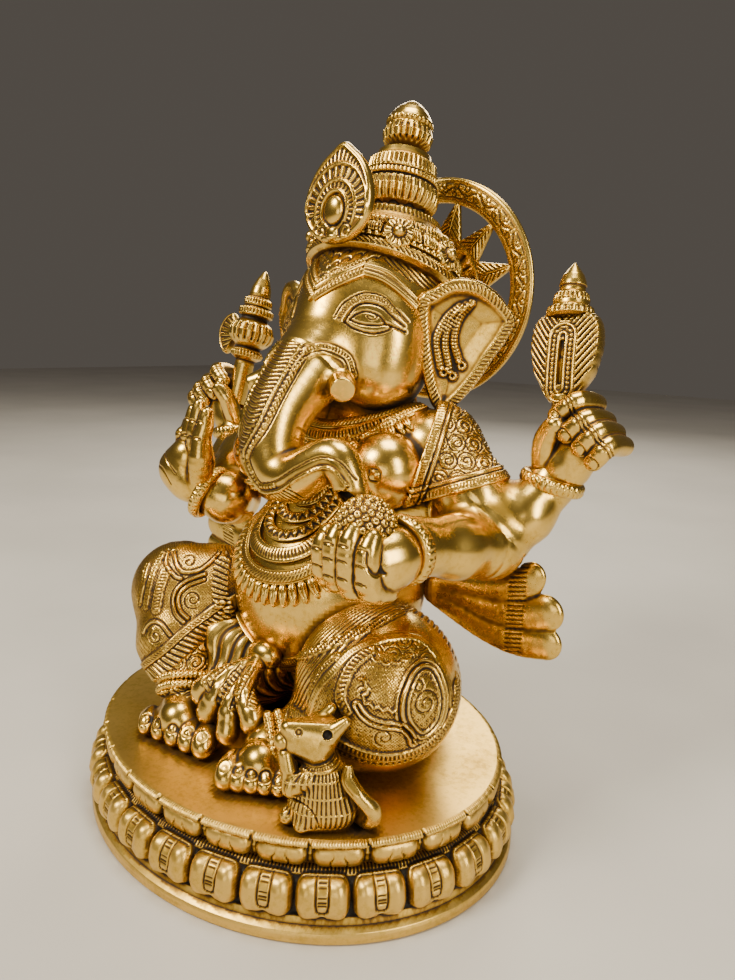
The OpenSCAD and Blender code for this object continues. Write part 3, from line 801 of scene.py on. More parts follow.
def foot(heel, first, last):
    """The field of a foot from its heel to five toes between two toe tips."""
    middle = (first + last) / 2
    ahead = unit(middle - heel) * vec(1, 1, 0)

    def behind(tip, back, lift):
        return tip - back * ahead + lift * Z

    def form(p):
        d = limb(p, [[*heel, 11.5], [*behind(middle, 9, 4), 9.5]], 4)
        d = blend(d, limb(p, [[*behind(first, 7, 0), 6], [*behind(last, 7, 0), 5.5]], 3), 4)
        for k in range(5):
            tip, r = first + (last - first) * k / 4, 4.8 - 0.4 * k
            joints = [[*behind(tip, back, lift), r] for back, lift in ((9, 2.5), (3, 2.6), (0, 0.4))]
            d = blend(d, finger(p, joints), 0.6)
        return np.maximum(d, DECK - p[:, 2])
    return form


def foot_relief(first, last):
    """A cut line round each of the five toe nails."""
    row = last - first

    def relief(p, n):
        k = np.clip(np.round((p - first) @ row / (row @ row) * 4), 0, 4)
        tip = first + row * (k / 4)[:, None] + vec(0, 0, 4)
        nail = length((p - tip) / vec(2.4, 2.4, 2.6))
        return -0.5 * line(nail - 1, 0.3)
    return relief


# ---------------------------------------------------------------- mouse and knot

MOUSE_EAR = vec(61.5, -52.5, 74.5)


def mouse(p):
    """A mouse sitting up and holding a sweet to its mouth."""
    d = limb(p, [[55, -51, 44, 10], [56, -50, 55, 8]], 4)
    d = blend(d, limb(p, [[61, -46.5, 44, 9.6], [58, -48.5, 55, 8]], 4), 4)
    skull = limb(p, [[57, -49, 72.5, 6.2], [48, -58, 74.5, 3.2]], 2)
    skull = blend(skull, limb(p, [[55, -51.5, 67.8, 7], [50, -56.5, 69.5, 4.6]], 2), 3)
    d = blend(d, np.maximum(skull, p[:, 2] - 77.5), 2)
    for base, tip in (((60, -50, 73), (64.5, -46.5, 78)), ((53, -47, 74), (55, -43, 78.5))):
        d = blend(d, limb(p, [[*base, 4], [*tip, 2]], 1), 1)
    d = carve(d, ball(p, MOUSE_EAR, 1.7), 0.6)
    for shoulder, elbow, hand in (((56, -57, 57), (52, -60.5, 54), (48.5, -60, 65)),
                                  ((50, -52, 58), (46, -55, 55), (45, -57, 65))):
        d = blend(d, limb(p, [[*shoulder, 3.8], [*elbow, 3.4], [*hand, 2.6]], 1.5), 1)
    for x in (51, 58):
        d = blend(d, limb(p, [[x, -54, 41, 4.6], [x - 2, -59, 40, 3.2]], 1.5), 1.5)
    d = np.minimum(d, ball(p, vec(46.8, -60, 70), 3.2))
    return np.maximum(d, DECK - p[:, 2])


def mouse_relief(p, n):
    """Fur on the chest, a collar, the edge of a haunch, and an eye on each side."""
    angle = np.arctan2(p[:, 0] - 57, -(p[:, 1] + 49))
    fur = hatch(angle * 9, 1.5, 0.4) * (np.abs(near(p[:, 2], 6)) < 2.6) * band(p[:, 2], 39, 60, 0.4)
    collar = strap(p[:, 2] - 62 - 0.2 * (p[:, 1] + 52), angle * 9, 2.6, 1.2, 0.9) * (p[:, 1] > -58)
    u, v, w = chart(p, vec(55, -60, 44), vec(0.3, -0.95, 0))
    haunch = line(np.hypot(u, v + 3) - 8, 0.6) * (v > -4)
    eye = np.minimum(length(p - vec(52.5, -57.6, 74.5)), length(p - vec(49, -52.5, 75.5)))
    return (-0.45 * fur * (p[:, 1] < -42) - 0.6 * haunch * (w > -6) + collar * (p[:, 2] > 57)
            - 0.6 * line(eye - 1.4, 0.5) - 0.5 * line(eye, 0.6))


def knot(p):
    """The sash's knot over the lap, with four folded ends that fan out below it."""
    d = egg(p, vec(-2, -20, 74), (8.5, 6, 6.5))
    for x, y, z in ((-18, -41, 57), (-12, -43, 51), (1, -44, 47), (12, -41, 55)):
        halfway = [(x - 4) / 2, (y - 34) / 2, (z + 72) / 2 + 2, 4.4]
        path = [[-2, -24, 72, 3.6], halfway, [x, y, z + 3, 5], [x, y - 1, z, 4.2]]
        d = blend(d, limb(p, smooth(path, 9), 0.8), 0.9)
    return np.maximum(d, DECK - p[:, 2])


def knot_relief(p, n):
    reach = length(p - vec(-2, -20, 76))
    angle = np.arctan2(p[:, 0] + 2, -(p[:, 1] + 14))
    fold = hatch(angle * 30, 4.2, 0.16) * band(reach, 12, 30, 1)
    weave = hatch(reach, 2.0, 0.35) * band(reach, 14, 30, 1) * (np.abs(near(angle * 30 + 2, 8.4)) < 2)
    return -0.6 * fold - 0.5 * weave


# ---------------------------------------------------------------- swept and turned pieces

def draped(places, lift):
    """A necklace's line over the torso through (x, z) places from the middle out, on both sides."""
    ahead = -40
    p = smooth([(-x, ahead, z) for x, z in places[:0:-1]] + [(x, ahead, z) for x, z in places], 150)
    for _ in range(60):     # small steps backwards, until the line lies on the body
        p[:, 1] += np.clip(torso(p) * 0.8, -2, 4)
    p = settle(torso, p, 2)
    normal = gradient(torso, p)
    return p + lift * normal, normal


def ribbon(path, normal, half, thick, style=None, both=False, pitch=0.45):
    """A flat band along a path, sampled at pitch. style(distance, side, half width) is worked into
    its outer face, or with both into its inner face too."""
    rows = even(np.hstack([path, normal]), pitch / SPARSE)

    def relief(s, angle, side):
        return style(s, side, half) * ((np.sin(angle) > 0) | both)
    return swept(rows[:, :3], half, thick, 40, style and relief, rows[:, 3:])


def even(path, pitch):
    """The path at even steps of about pitch."""
    s = distances(path)
    n = max(4, int(s[-1] / pitch))
    t = np.linspace(0, s[-1], n)
    return np.stack([np.interp(t, s, path[:, i]) for i in range(path.shape[1])], -1)


def drops(path, normal, pitch, size):
    """A row of leaf drops below a path, each size = length, half width, thickness."""
    spots = even(np.hstack([path, normal]), pitch)
    _, side, n = frames(spots[:, :3], spots[:, 3:])
    long, half, thick = size
    out = []
    for at, across, up in zip(spots[:, :3], side, n):
        down = across if across[2] < 0 else -across
        out.append(leaf(at + down * long / 2, down, up, long / 2, half, thick))
    return joined(*out)


def leaf(at, down, out, half_long, half_wide, thick):
    """A plump leaf that points down, with a cut middle line."""
    down, out = unit(down), unit(out - (out @ down) * down)
    across = np.cross(down, out)
    rows = []
    a = angles(20)
    for k in np.linspace(0.02, 1, 7) * TAU / 4:
        shrink, rise = math.sin(k), math.cos(k)
        u = half_wide * np.sin(a) * (1 - 0.3 * np.cos(a)) * shrink
        v = half_long * np.cos(a) * shrink
        w = thick * rise - 0.35 * thick * line(u, 0.5) * (shrink < 0.98)
        rows.append(at + u[:, None] * across + v[:, None] * down + w[:, None] * out)
    rows.append(at + 0.96 * (rows[-1] - at) - thick * 0.8 * out)
    return ring_mesh(np.stack(rows))


def plate(outline, thick, relief, at, u_axis, v_axis, rings, swell, back=0):
    """A cast leaf or blade with a flat smooth outline, swollen towards its middle. relief(u, v, rim)
    shapes its front, and back times as much of it its back; rim is 0 in the middle, 1 at the edge."""
    edge = np.asarray(outline, float)
    centre = edge.mean(0)
    out = np.cross(u_axis, v_axis)
    faces = []
    for facing, share in ((1, 1), (-1, back)):
        rows = []
        for k in np.linspace(0.02, 1, rings):
            uv = centre + (edge - centre) * k
            body = swell * (1 - k**2) + thick / 2 * dome(max(0, k - 0.9), 0.1)
            h = relief(uv[:, 0], uv[:, 1], np.full(len(uv), k)) * share * min(1, (1 - k) * rings / 2)
            rows.append(uv @ vec(u_axis, v_axis) + (facing * (body + h))[:, None] * out + at)
        faces.append(rows)
    return ring_mesh(np.stack(faces[0] + faces[1][-2::-1]))


# ---------------------------------------------------------------- pedestal

OVAL_A = (flange_hi.x - flange_lo.x) / 2 / MM
OVAL_B = (flange_hi.y - flange_lo.y) / 2 / MM


def oval_track(a, b, n):
    """Evenly spaced points round an ellipse with their outward normals and distances."""
    def ellipse(t):
        return np.stack([a * np.sin(t), -b * np.cos(t)], -1)

    t = np.linspace(0, TAU, 4001)
    s = distances(ellipse(t))
    at = np.linspace(0, s[-1], n, endpoint=False)
    t = np.interp(at, s, t)
    out = unit(np.stack([np.sin(t) / a, -np.cos(t) / b], -1))
    return ellipse(t), out, at, s[-1]


def tier(profile, petals, relief, around, along):
    """An oval tier. profile is inset and height. relief(u, z, s, pitch) adds to it, where u is the
    distance from a petal's middle, s the distance round the foot and pitch a petal's share of it."""
    point, out, s, total = oval_track(OVAL_A, OVAL_B, int(around * SPARSE))
    _, (inset, z), (slope_in, slope_up) = sampled(profile, int(along * SPARSE))
    pitch = total / petals
    h = relief(near(s - pitch / 2, pitch)[None], z[:, None], s[None], pitch)
    away = -inset[:, None] + h * slope_up[:, None]
    up = z[:, None] + h * slope_in[:, None]
    return ring_mesh(np.concatenate([point + away[..., None] * out, up[..., None]], -1))


def petal_tile(u, z, half, tall, low, proud, lobes=0):
    """Height of a bulging petal between heights low and low + tall, and a share that is 0 outside it."""
    y = (z - low) / tall
    width = half * (1 - 0.06 * (2 * y - 1) ** 2) * (1 - 0.06 * lobes * (1 - y))
    corner = (np.abs(u) / width) ** 7 + np.abs(2 * y - 1) ** 5
    inside = np.clip(1 - corner, 0, 1)
    notch = 0.8 * lobes * line(u, 2.2) * (1 - step(y, 0.02, 0.3))
    return proud * inside**0.45 * (1 - notch), inside


def lower_relief(u, z, s, pitch):
    """Broad petals, each with two bulges beside a ribbed slot, above the plain foot."""
    half = pitch / 2 - 0.1
    h, inside = petal_tile(u, z, half, 14.6, 8.7, 3.4, 1)
    row = band(z, 8.9, 22.6, 0.3)
    slot = np.hypot(u, np.minimum(0, z - 16)) - 2.3
    rungs = 0.7 * hatch(z, 1.3) * (slot < -0.7)
    ribs = 0.5 * hatch(z, 1.2) * band(np.abs(u), half - 0.9, pitch, 0.2) * row
    bulge = 0.9 * np.exp(-((np.abs(u) - half * 0.56) / (half * 0.28)) ** 2) * band(z, 11, 21.5, 1.5)
    lip = 0.7 * hatch(s, 1.5, 0.4) * band(z, 23.0, 24.8, 0.2)
    worn = 0.06 * np.sin(s * 0.31) * np.sin(s * 0.083) * (z > 2)
    return (h + inside * (bulge - rungs - line(slot, 0.75)) - 0.45 * line(inside - 0.45, 0.16)
            - lip - ribs - 0.8 * (1 - inside) * row + worn)


def upper_relief(u, z, s, pitch):
    """Low petals with an arch cut in each, ribbed gaps between them, and a gadrooned rim above."""
    h, inside = petal_tile(u, z, pitch / 2 - 1.2, 7.8, 25.6, 2.3)
    arch = np.hypot(u / 1.05, np.maximum(0, z - 28.2) * 1.3) - 3.1
    mark = line(arch, 0.55) * band(z, 26.4, 32, 0.3)
    between = np.abs(np.abs(u) - pitch / 2)
    row = band(z, 25.4, 33.4, 0.3)
    notch = line(between, 1.0) * band(z, 33.0, 37.2, 0.4)
    ribs = 0.6 * line(between - 1.0, 0.45) * row + 0.4 * hatch(z, 1.1, 0.4) * (between < 1.5) * row
    rim = hatch(s, 1.15, 0.4) * band(z, 34.2, 36.6, 0.2)
    gadroon = 0.5 * np.abs(np.sin(math.pi * s / pitch * 4)) * band(z, 33.2, 34.6, 0.4)
    gap = 0.9 * (1 - inside) * band(z, 25.8, 33, 0.3) * (between > 1.5)
    h += gadroon - 0.65 * mark * inside - ribs - 0.45 * rim - 1.2 * notch - 0.6 * line(z - 33.6, 0.5) - gap
    return h * (z < DECK - 0.05)


def pedestal():
    """The two oval tiers; each profile is inset and height from the foot to the top."""
    flange = [(9, 0), (0.8, 0), (0, 0.8), (0, 3.4), (0.5, 4.6), (2.8, 6.2), (3.8, 8.6), (4.3, 11),
              (3.4, 15), (4.2, 19), (7.6, 22.6), (9.2, 24.2), (10.5, 24.6), (24, 24.6)]
    upper = [(24, 24.4), (11.6, 24.6), (11, 25.4), (9.8, 27.4), (9.2, 30), (9.9, 32.6), (10.2, 33.4),
             (9.2, 33.8), (6.5, 34.6), (6.3, 35.6), (7.1, 36.4), (8.7, DECK), (60, DECK), (86, DECK)]
    piece("base_flange_tier", tier(flange, 28, lower_relief, 1900, 96), "satin")
    piece("base_deck_tier", tier(upper, 26, upper_relief, 1700, 84), "satin")


# ---------------------------------------------------------------- crown and halo

LEAN = math.radians(12)
CROWN_AT = vec(0, 55, 236)
CROWN_AXES = vec(X, (0, math.cos(LEAN), -math.sin(LEAN)), (0, math.sin(LEAN), math.cos(LEAN))).T


def raised_front(p):
    """The crown's band lifted over the brow and let down behind, less and less up to its top."""
    q = (p - CROWN_AT) @ CROWN_AXES
    lift = -0.22 * q[:, 1] * np.clip(1 - q[:, 2] / 25, 0, 1)
    return p + lift[:, None] * CROWN_AXES[:, 2]


def crown_turn(turn):
    """Distance from the crown's front, going from -0.5 to 0.5 of a turn."""
    return near(turn - 0.75, 1.0)


def lobe(t):
    """Height of the nearest of a row of round-shouldered lobes, one for each whole t."""
    return np.sqrt(np.clip(1 - (np.abs(near(t, 1)) / 0.47) ** 4, 0, 1))


def band_relief(turn, z):
    """From its foot up: hatching, beads, cleft lobes, plain lobes and a hatched rim."""
    t = crown_turn(turn)
    h = -0.9 * hatch(t * 240 + 1.2 * z, 2.6, 0.36) * band(z, 0.2, 4.4, 0.2)
    for height, depth, width in ((4.9, 0.8, 0.6), (8.3, 0.8, 0.5), (15.6, 1.0, 0.6), (21.8, 0.9, 0.6)):
        h -= depth * line(z - height, width)
    h += 0.9 * beads(t * 230, z - 6.6, 3.4, 1.7) * band(z, 5.1, 8.2, 0.1)
    h += 1.7 * lobe(t * 24 + 0.5) * band(z, 9, 15, 0.5)
    h -= 0.9 * line(near(t * 24 + 0.5, 1), 0.06) * band(z, 9.5, 14, 0.3)
    h -= 0.7 * hatch(t * 168, 1.4, 0.3) * band(z, 9.6, 14.4, 0.2)
    h += 1.5 * lobe(t * 20) * band(z, 16.4, 21, 0.5) - 0.9 * hatch(t * 100, 1, 0.3) * band(z, 17, 20.6, 0.2)
    return h - 0.4 * hatch(t * 150, 2.2, 0.35) * band(z, 26.6, 29.6, 0.2)


def dome_relief(turn, z):
    """From its foot up: jewels, tall gadroons and two hatched rows."""
    t = crown_turn(turn)
    jewel = np.hypot(near(t * 90, 7.5) / 1.3, z - 31.6)
    h = 0.9 * dome(jewel, 1.5) ** 2 - 0.5 * line(jewel - 2, 0.5)
    h -= 1.1 * line(near(t * 34, 1), 0.3) * band(z, 35, 44.5, 1.5)
    h += 0.5 * np.abs(np.cos(math.pi * t * 34)) * band(z, 35.5, 44, 1.5)
    h -= 0.8 * line(z - 45.4, 0.6) + 0.8 * line(z - 49, 0.6)
    h -= 0.6 * hatch(t * 110, 1.9, 0.4) * band(z, 46, 48.6, 0.2)
    return h - 0.7 * hatch(t * 100, 2.3, 0.35) * band(z, 50.5, 56, 0.3)


def finial_relief(turn, z):
    """Flutes round the bud and a hatched ring above them."""
    t = crown_turn(turn)
    flute = line(near(t * 22, 1), 0.32)
    return -0.9 * flute * band(z, 64, 71.5, 0.8) - 0.5 * hatch(t * 50, 1.8, 0.4) * band(z, 73, 74.6, 0.2)


# radius and height of the crown's castings from the foot of its band
CROWN_BAND = [(0, -2), (35.6, -2), (37.8, -0.6), (38.2, 2.4), (37, 4.8), (35.4, 5.6), (36.2, 6.6), (35, 8.2),
              (34.2, 9), (33.8, 12), (31.8, 15.2), (30.4, 16), (29.6, 19.4), (27.6, 21.8), (26, 23),
              (23, 26.4), (22, 29.6), (18, 30.6), (0, 30.6)]
CROWN_DOME = [(0, 29), (15.2, 29), (15, 30), (14.6, 33), (16.6, 34.6), (18.6, 38), (19, 41), (18, 44.6),
              (17.4, 45.4), (18.4, 46.6), (18.2, 48.4), (16.2, 49), (16.6, 51), (16, 55.4), (13.2, 57),
              (12.4, 60), (0, 60.6)]
CROWN_FINIAL = [(0, 59), (6.4, 59), (5.6, 61), (8, 62.8), (11.2, 65.4), (12, 68.6), (10.8, 71.8),
                (10.4, 72.6), (11.2, 73.8), (11, 75), (10.4, 75.8), (9.4, 77.8), (7.4, 80.4), (4.2, 83.2),
                (2, 84.6), (1, 85.2), (0, 85.4)]


def crown():
    """The crown's band, dome and finial."""
    verts, quads = turned(CROWN_BAND, 1100, 150, band_relief, CROWN_AXES, CROWN_AT)
    piece("crown_band", (raised_front(verts), quads))
    piece("crown_dome", turned(CROWN_DOME, 620, 130, dome_relief, CROWN_AXES, CROWN_AT))
    piece("crown_finial", turned(CROWN_FINIAL, 420, 90, finial_relief, CROWN_AXES, CROWN_AT))


def plaque_relief(u, v, rim):
    """Gem, arcs, ribs and scrolls of the leaf plaque; v is up from its middle."""
    w = v + 6.5
    gem = np.hypot(u, w * 0.85)
    angle = np.arctan2(u, w)
    h = 2.4 * dome(gem, 5) - 0.8 * line(gem - 5.6, 0.6) + 0.6 * band(rim, 0.87, 1.1, 0.02)
    for r, proud, width, low in ((7, 0.8, 1, -5), (10.7, 0.7, 0.8, -6), (16.4, 0.7, 0.7, 0)):
        h += proud * line(gem - r, width) * (w > low)
    h -= 0.6 * hatch(angle * 8, 1.7, 0.4) * band(gem, 7.9, 9.8, 0.2) * (w > -6)
    h -= 0.8 * hatch(angle * 11, 2.4, 0.36) * band(gem, 11.6, 15.5, 0.3) * (w > -4)
    rays = hatch(u * 1.1 / np.maximum(1, 0.06 * w), 1.9, 0.35) * band(rim, 0.3, 0.85, 0.02)
    h -= 0.6 * rays * (gem > 17.4) * (w > 0)
    for side in (-1, 1):
        h -= 0.7 * curl(u - side * 7, v + 15, 4, 1.7, side, 0.55)
    return h + 1.8 * dome(np.hypot(u, v + 16), 3.2)


def plaque():
    """The leaf over the brow, and two small flowers on each side of the crown's band."""
    a = angles(220)
    tip = 2.4 * np.exp(-(np.sin(a / 2) / 0.14) ** 2)
    edge = np.stack([18 * np.sin(a) * (1 - 0.16 * np.cos(a)), 20 * np.cos(a) + tip], -1)
    tilt = math.radians(8)
    v_axis = vec(0, math.sin(tilt), math.cos(tilt))
    parts = [plate(edge, 4, plaque_relief, vec(0, 21, 269.5), X, v_axis, 44, 1.5)]
    flower = circle(90, 6.6) * (1 + 0.05 * np.cos(8 * angles(90)))[:, None]
    for turn in (-0.115, -0.23, 0.115, 0.23):
        a = turn * TAU
        out = CROWN_AXES @ vec(math.sin(a), -math.cos(a), 0.35)
        at = raised_front((CROWN_AT + CROWN_AXES @ vec(35 * math.sin(a), -35 * math.cos(a), 10))[None])[0]
        right = unit(np.cross(CROWN_AXES[:, 2], out))
        parts.append(plate(flower, 3, rosette_relief, at, right, np.cross(out, right), 20, 1))
    piece("crown_plaque", joined(*parts))


def rosette_relief(u, v, rim):
    r, a = np.hypot(u, v), np.arctan2(v, u)
    h = 2.2 * dome(r, 2.6) - 0.7 * line(r - 3.1, 0.5)
    return h - 0.7 * hatch(a, TAU / 16, 0.3) * band(r, 3.5, 6, 0.3)


halo_lo, halo_hi = box("halo_ring")
HALO_R = (halo_hi[0] - halo_lo[0]) / 2
HALO_AT = vec(0, 100, 235.7)
HALO_RIM = 12
HALO_RAYS = 12


def vine(s, angle, side):
    """A cut vine with leaves between two borders, on the front and back of the halo's rim."""
    edge = np.abs(side)
    stem = line(side - 1.9 * np.sin(s / 13.2 * TAU), 0.7)
    leaves = np.hypot(near(s + 3.3, 6.6) / 1.2, edge - 2)
    leaf_cut = line(leaves - 1.1, 0.5) + 0.6 * line(leaves, 0.5)
    h = 0.25 * band(edge, 4.2, 6, 0.3) - 0.7 * line(edge - 3.6, 0.6)
    return (np.abs(np.sin(angle)) > 0.2) * (h - 0.6 * stem - 0.6 * leaf_cut * (edge < 3.3))


def ray_relief(u, v, rim):
    barbs = hatch(v + np.abs(u) * 0.9, 2.3, 0.33) * (np.abs(u) > 0.8)
    return 0.35 - 0.55 * barbs - 0.5 * line(np.abs(u) - 0.6, 0.4)


def halo():
    """A ring, and pointed rays that reach out to it from a round plate behind the crown."""
    n = int(900 * SPARSE)
    path = HALO_AT + circle(n, HALO_R - HALO_RIM / 2) @ vec(X, Z)
    parts = [swept(path, HALO_RIM / 2, 2.1, 52, vine, np.tile(FRONT, (n, 1)), True)]
    inner = HALO_R - HALO_RIM + 0.8
    foot_half, tip_half, tall = inner * 0.69 * math.sin(math.pi / HALO_RAYS), 1.1, inner * 0.42
    ray = polygon_points([(-foot_half, 0), (foot_half, 0), (tip_half, tall), (-tip_half, tall)], 24)
    for k in range(HALO_RAYS):
        a = TAU * (k + 0.5) / HALO_RAYS
        out = vec(math.sin(a), 0, math.cos(a))
        at = HALO_AT + out * inner * 0.585
        parts.append(plate(ray, 2.4, ray_relief, at, np.cross(FRONT, out), out, 16, 0.5, 1))
    hub_r = inner * 0.62

    def hub_relief(u, v, rim):
        r, turn = np.hypot(u, v), np.arctan2(v, u)
        petals = hatch(turn, TAU / 24, 0.2) * band(r, 9, hub_r - 3, 0.4)
        return 0.4 * np.cos(turn * 12) * band(r, 9, hub_r - 3, 1) - 0.6 * petals - 0.7 * line(r - 8.4, 0.7)
    parts.append(plate(circle(120, hub_r), 2.4, hub_relief, HALO_AT, -X, Z, 36, 0.6, 1))
    piece("halo_ring", joined(*parts), "antique")


def polygon_points(corners, n):
    """n points along each side of a closed polygon."""
    c = np.asarray(corners, float)
    t = np.linspace(0, 1, n, endpoint=False)[:, None]
    return np.vstack([a + (b - a) * t for a, b in zip(c, np.roll(c, -1, 0))])


# ---------------------------------------------------------------- emblems

EMBLEM_AT = vec(94, 51.5, 190)
AXE_AT = vec(-92, 51.5, 190)
EMBLEM_LEAN = math.radians(13)
EMBLEM_CANT = math.radians(-5)
STEM_L = 18


def emblem_axes(side):
    """The emblem's own X, Y and Z as columns: leaning back and canted inwards."""
    lean, cant = EMBLEM_LEAN, side * EMBLEM_CANT
    tilt = vec(X, (0, math.cos(lean), math.sin(lean)), (0, -math.sin(lean), math.cos(lean)))
    swing = vec((math.cos(cant), 0, math.sin(cant)), Y, (-math.sin(cant), 0, math.cos(cant)))
    return tilt @ swing


def stack_relief(turn, z):
    ringed = band(z, 34.2, 36.6, 0.2) + band(z, 39.6, 42.4, 0.2)
    return -0.5 * hatch(turn, 1 / 22, 0.35) * ringed - 0.35 * line(z - 45.6, 0.7)


# half width or radius and height of the emblems' parts
BUD = [(0, -4), (2, -3.5), (6, 0), (9.2, 5), (12, 10), (13.4, 15), (14.6, 22), (14, 29), (12, 33), (8, 35),
       (0, 35.5)]
NOOSE_STEM = [(0, -STEM_L), (4, -STEM_L), (4, -2), (5.4, -1), (5.6, 1), (4, 3), (0, 3)]
NOOSE_TOP = [(0, 33), (8, 33), (9.6, 34), (9.6, 35.6), (9.2, 36.8), (7.4, 37.8), (7.2, 39.4), (7.4, 40.4),
             (6.8, 42.6), (5.4, 43.6), (5.2, 45), (5.6, 46.2), (5.2, 48), (4.2, 50.6), (1.8, 54),
             (0.6, 55.6), (0, 56)]
AXE_SHAFT = [(0, -STEM_L), (5.4, -STEM_L), (5.4, 4), (5.2, 6), (8.4, 8), (9, 10), (7.6, 11.8), (6.4, 13),
             (9.6, 15.4), (12, 18.4), (12.6, 22), (11, 25.8), (7.4, 28.4), (7, 29.6), (9.4, 31), (9.6, 34),
             (7, 35.6), (7.8, 37), (7.6, 39.8), (5.8, 41), (5.8, 43), (5.2, 46.6), (3.4, 51.2), (1.2, 55.2),
             (0, 56)]
AXE_BLADE = [(-5, 18), (-12, 15.5), (-16, 8), (-21, 11), (-24.6, 19), (-22.5, 27), (-17, 31), (-12.5, 27),
             (-5, 25)]


def bud_relief(u, v, rim):
    """Ribs that slant down to a beaded loop in the middle of the noose's bud."""
    loop = np.hypot(u, np.maximum(0, np.abs(v - 14) - 10.5))
    rib = hatch(v - 1.3 * np.abs(u), 3.0, 0.34) * (loop > 6.2)
    h = 0.9 * (loop > 6) - 1.3 * rib
    h += 1.2 * line(loop - 5.2, 1.0) + 1.0 * line(loop - 1.6, 0.9)
    h += 0.8 * beads(v, loop - 3.4, 1.9, 0.9)
    return h - 1.2 * line(loop, 1.2) * (np.abs(v - 14) < 9)


def noose_emblem():
    axes = emblem_axes(1)
    half = smooth(BUD, 90)
    edge = np.vstack([half, (half * vec(-1, 1))[-2:0:-1]])
    stem = turned(NOOSE_STEM, 90, 30, None, axes, EMBLEM_AT)
    bud = plate(edge, 7, bud_relief, EMBLEM_AT, axes[:, 0], axes[:, 2], 52, 2.4, 1)
    top = turned(NOOSE_TOP, 260, 90, stack_relief, axes, EMBLEM_AT)
    piece("noose_emblem", joined(stem, bud, top), "antique")


def shaft_relief(turn, z):
    """Flutes round the bud of the axe's shaft, and three hatched rings."""
    rings = band(z, 8, 11.5, 0.3) + band(z, 31.6, 34.6, 0.2) + band(z, 37.4, 40.6, 0.2)
    return -0.9 * hatch(turn, 1 / 18, 0.3) * band(z, 16.5, 26, 0.6) - 0.5 * hatch(turn, 1 / 28, 0.35) * rings


def blade_relief(u, v, rim):
    fan = hatch(np.arctan2(v - 19.5, -u - 2) * 14, 2.2, 0.35) * band(rim, 0.2, 0.82, 0.04)
    return 0.5 * band(rim, 0.84, 1.1, 0.03) - 0.6 * fan - 0.6 * line(rim - 0.84, 0.03)


def axe():
    axes = emblem_axes(-1)
    shaft = turned(AXE_SHAFT, 300, 130, shaft_relief, axes, AXE_AT)
    edge = smooth(AXE_BLADE, 120, True)
    blade = plate(edge, 3.4, blade_relief, AXE_AT, axes[:, 0], axes[:, 2], 30, 0.5, 1)
    piece("axe", joined(shaft, blade), "antique")


# ---------------------------------------------------------------- cloth and jewellery

SASH_RIBS = (
    vec([45, 38, 103, 3.6], [58, 39, 105.5, 5], [72, 41, 106.5, 6], [84, 40, 109, 6.8], [91, 39, 114.5, 6.8],
        [93, 39, 117.5, 6.2]),
    vec([45, 38, 100, 3.8], [60, 40, 99.5, 5.4], [74, 41, 98, 6.8], [88, 40, 99.5, 7.8], [100, 40, 103, 8]),
    vec([45, 38, 97, 3.4], [58, 39, 93.5, 5.2], [72, 41, 89.5, 6.6], [87, 40, 88, 7.4], [101, 40, 90, 7.4]))


SASH_FLAT = 0.45       # a rib's thickness as a share of its width


def on_left(p):
    """A side's points as they lie on the left."""
    return flip(p, 1 if p[:, 0].mean() > 0 else -1)


def sash_form(p):
    """A flying end of the sash: three flat, rounded ribs that fan out side by side."""
    q = on_left(p)
    q[:, 1] = 40 + (q[:, 1] - 40) / SASH_FLAT
    top, middle, low = (limb(q, smooth(rib, 14), 0.6) for rib in SASH_RIBS)
    return blend(blend(top, middle, 1.5), low, 1.5) * SASH_FLAT


def sash_relief(p, n):
    q = on_left(p)
    return -0.35 * hatch(q[:, 2] - 0.25 * q[:, 0], 2.1, 0.3) * band(q[:, 0], 84, 92, 0.8)


def leaf_band(s, side, half):
    """Crosswise ribs between two raised borders."""
    edge = np.abs(side) / half
    return 0.6 * line(edge - 0.85, 0.2) - 0.7 * hatch(s, 1.6) * band(edge, -1, 0.68, 0.06)


def tooth_band(s, side, half):
    """A row of pointed leaves that stand on one edge of the band."""
    across = side / half
    tooth = np.abs(near(s, 3.6)) / 1.8 < 0.5 - 0.55 * across
    return (tooth - 0.7) * (np.abs(across) < 0.8) + 0.4 * line(np.abs(across) - 0.9, 0.15)


def rope_band(s, side, half):
    """Slanting cuts between two cut lines."""
    edge = np.abs(side) / half
    return -0.55 * hatch(s + 0.8 * side, 1.7, 0.4) * band(edge, 0.0, 0.72, 0.05) - 0.5 * line(edge - 0.8, 0.1)


def double_band(s, side, half):
    """Two cut lines along the middle and one by each edge."""
    edge = np.abs(side) / half
    return -0.7 * line(edge - 0.12, 0.2) - 0.4 * line(edge - 0.7, 0.12)


def necklace(name, rows, drop_line, pitch, drop_size):
    """Bands hung one below another, ending in a row of leaf drops."""
    bands = [ribbon(*draped(places, lift), half, 1.7, style, True) for places, half, lift, style in rows]
    piece(name, joined(*bands, drops(*draped(drop_line, 0.9), pitch, drop_size)))


def collar():
    necklace("necklace_collar",
             (([(0, 173), (14, 175), (27, 179), (38, 184)], 2.4, 0.6, rope_band),
              ([(0, 168), (14, 170), (26, 175), (38, 182)], 2.6, 0.9, leaf_band),
              ([(0, 162.5), (13, 165), (24, 171), (37, 180)], 2.6, 0.9, leaf_band),
              ([(0, 157.5), (12, 160), (20, 167), (28, 174), (37, 181)], 2.2, 0.8, rope_band)),
             [(0, 155.5), (12, 158), (19, 164), (26, 171), (35, 178)], 3.3, (8.5, 1.8, 2.0))


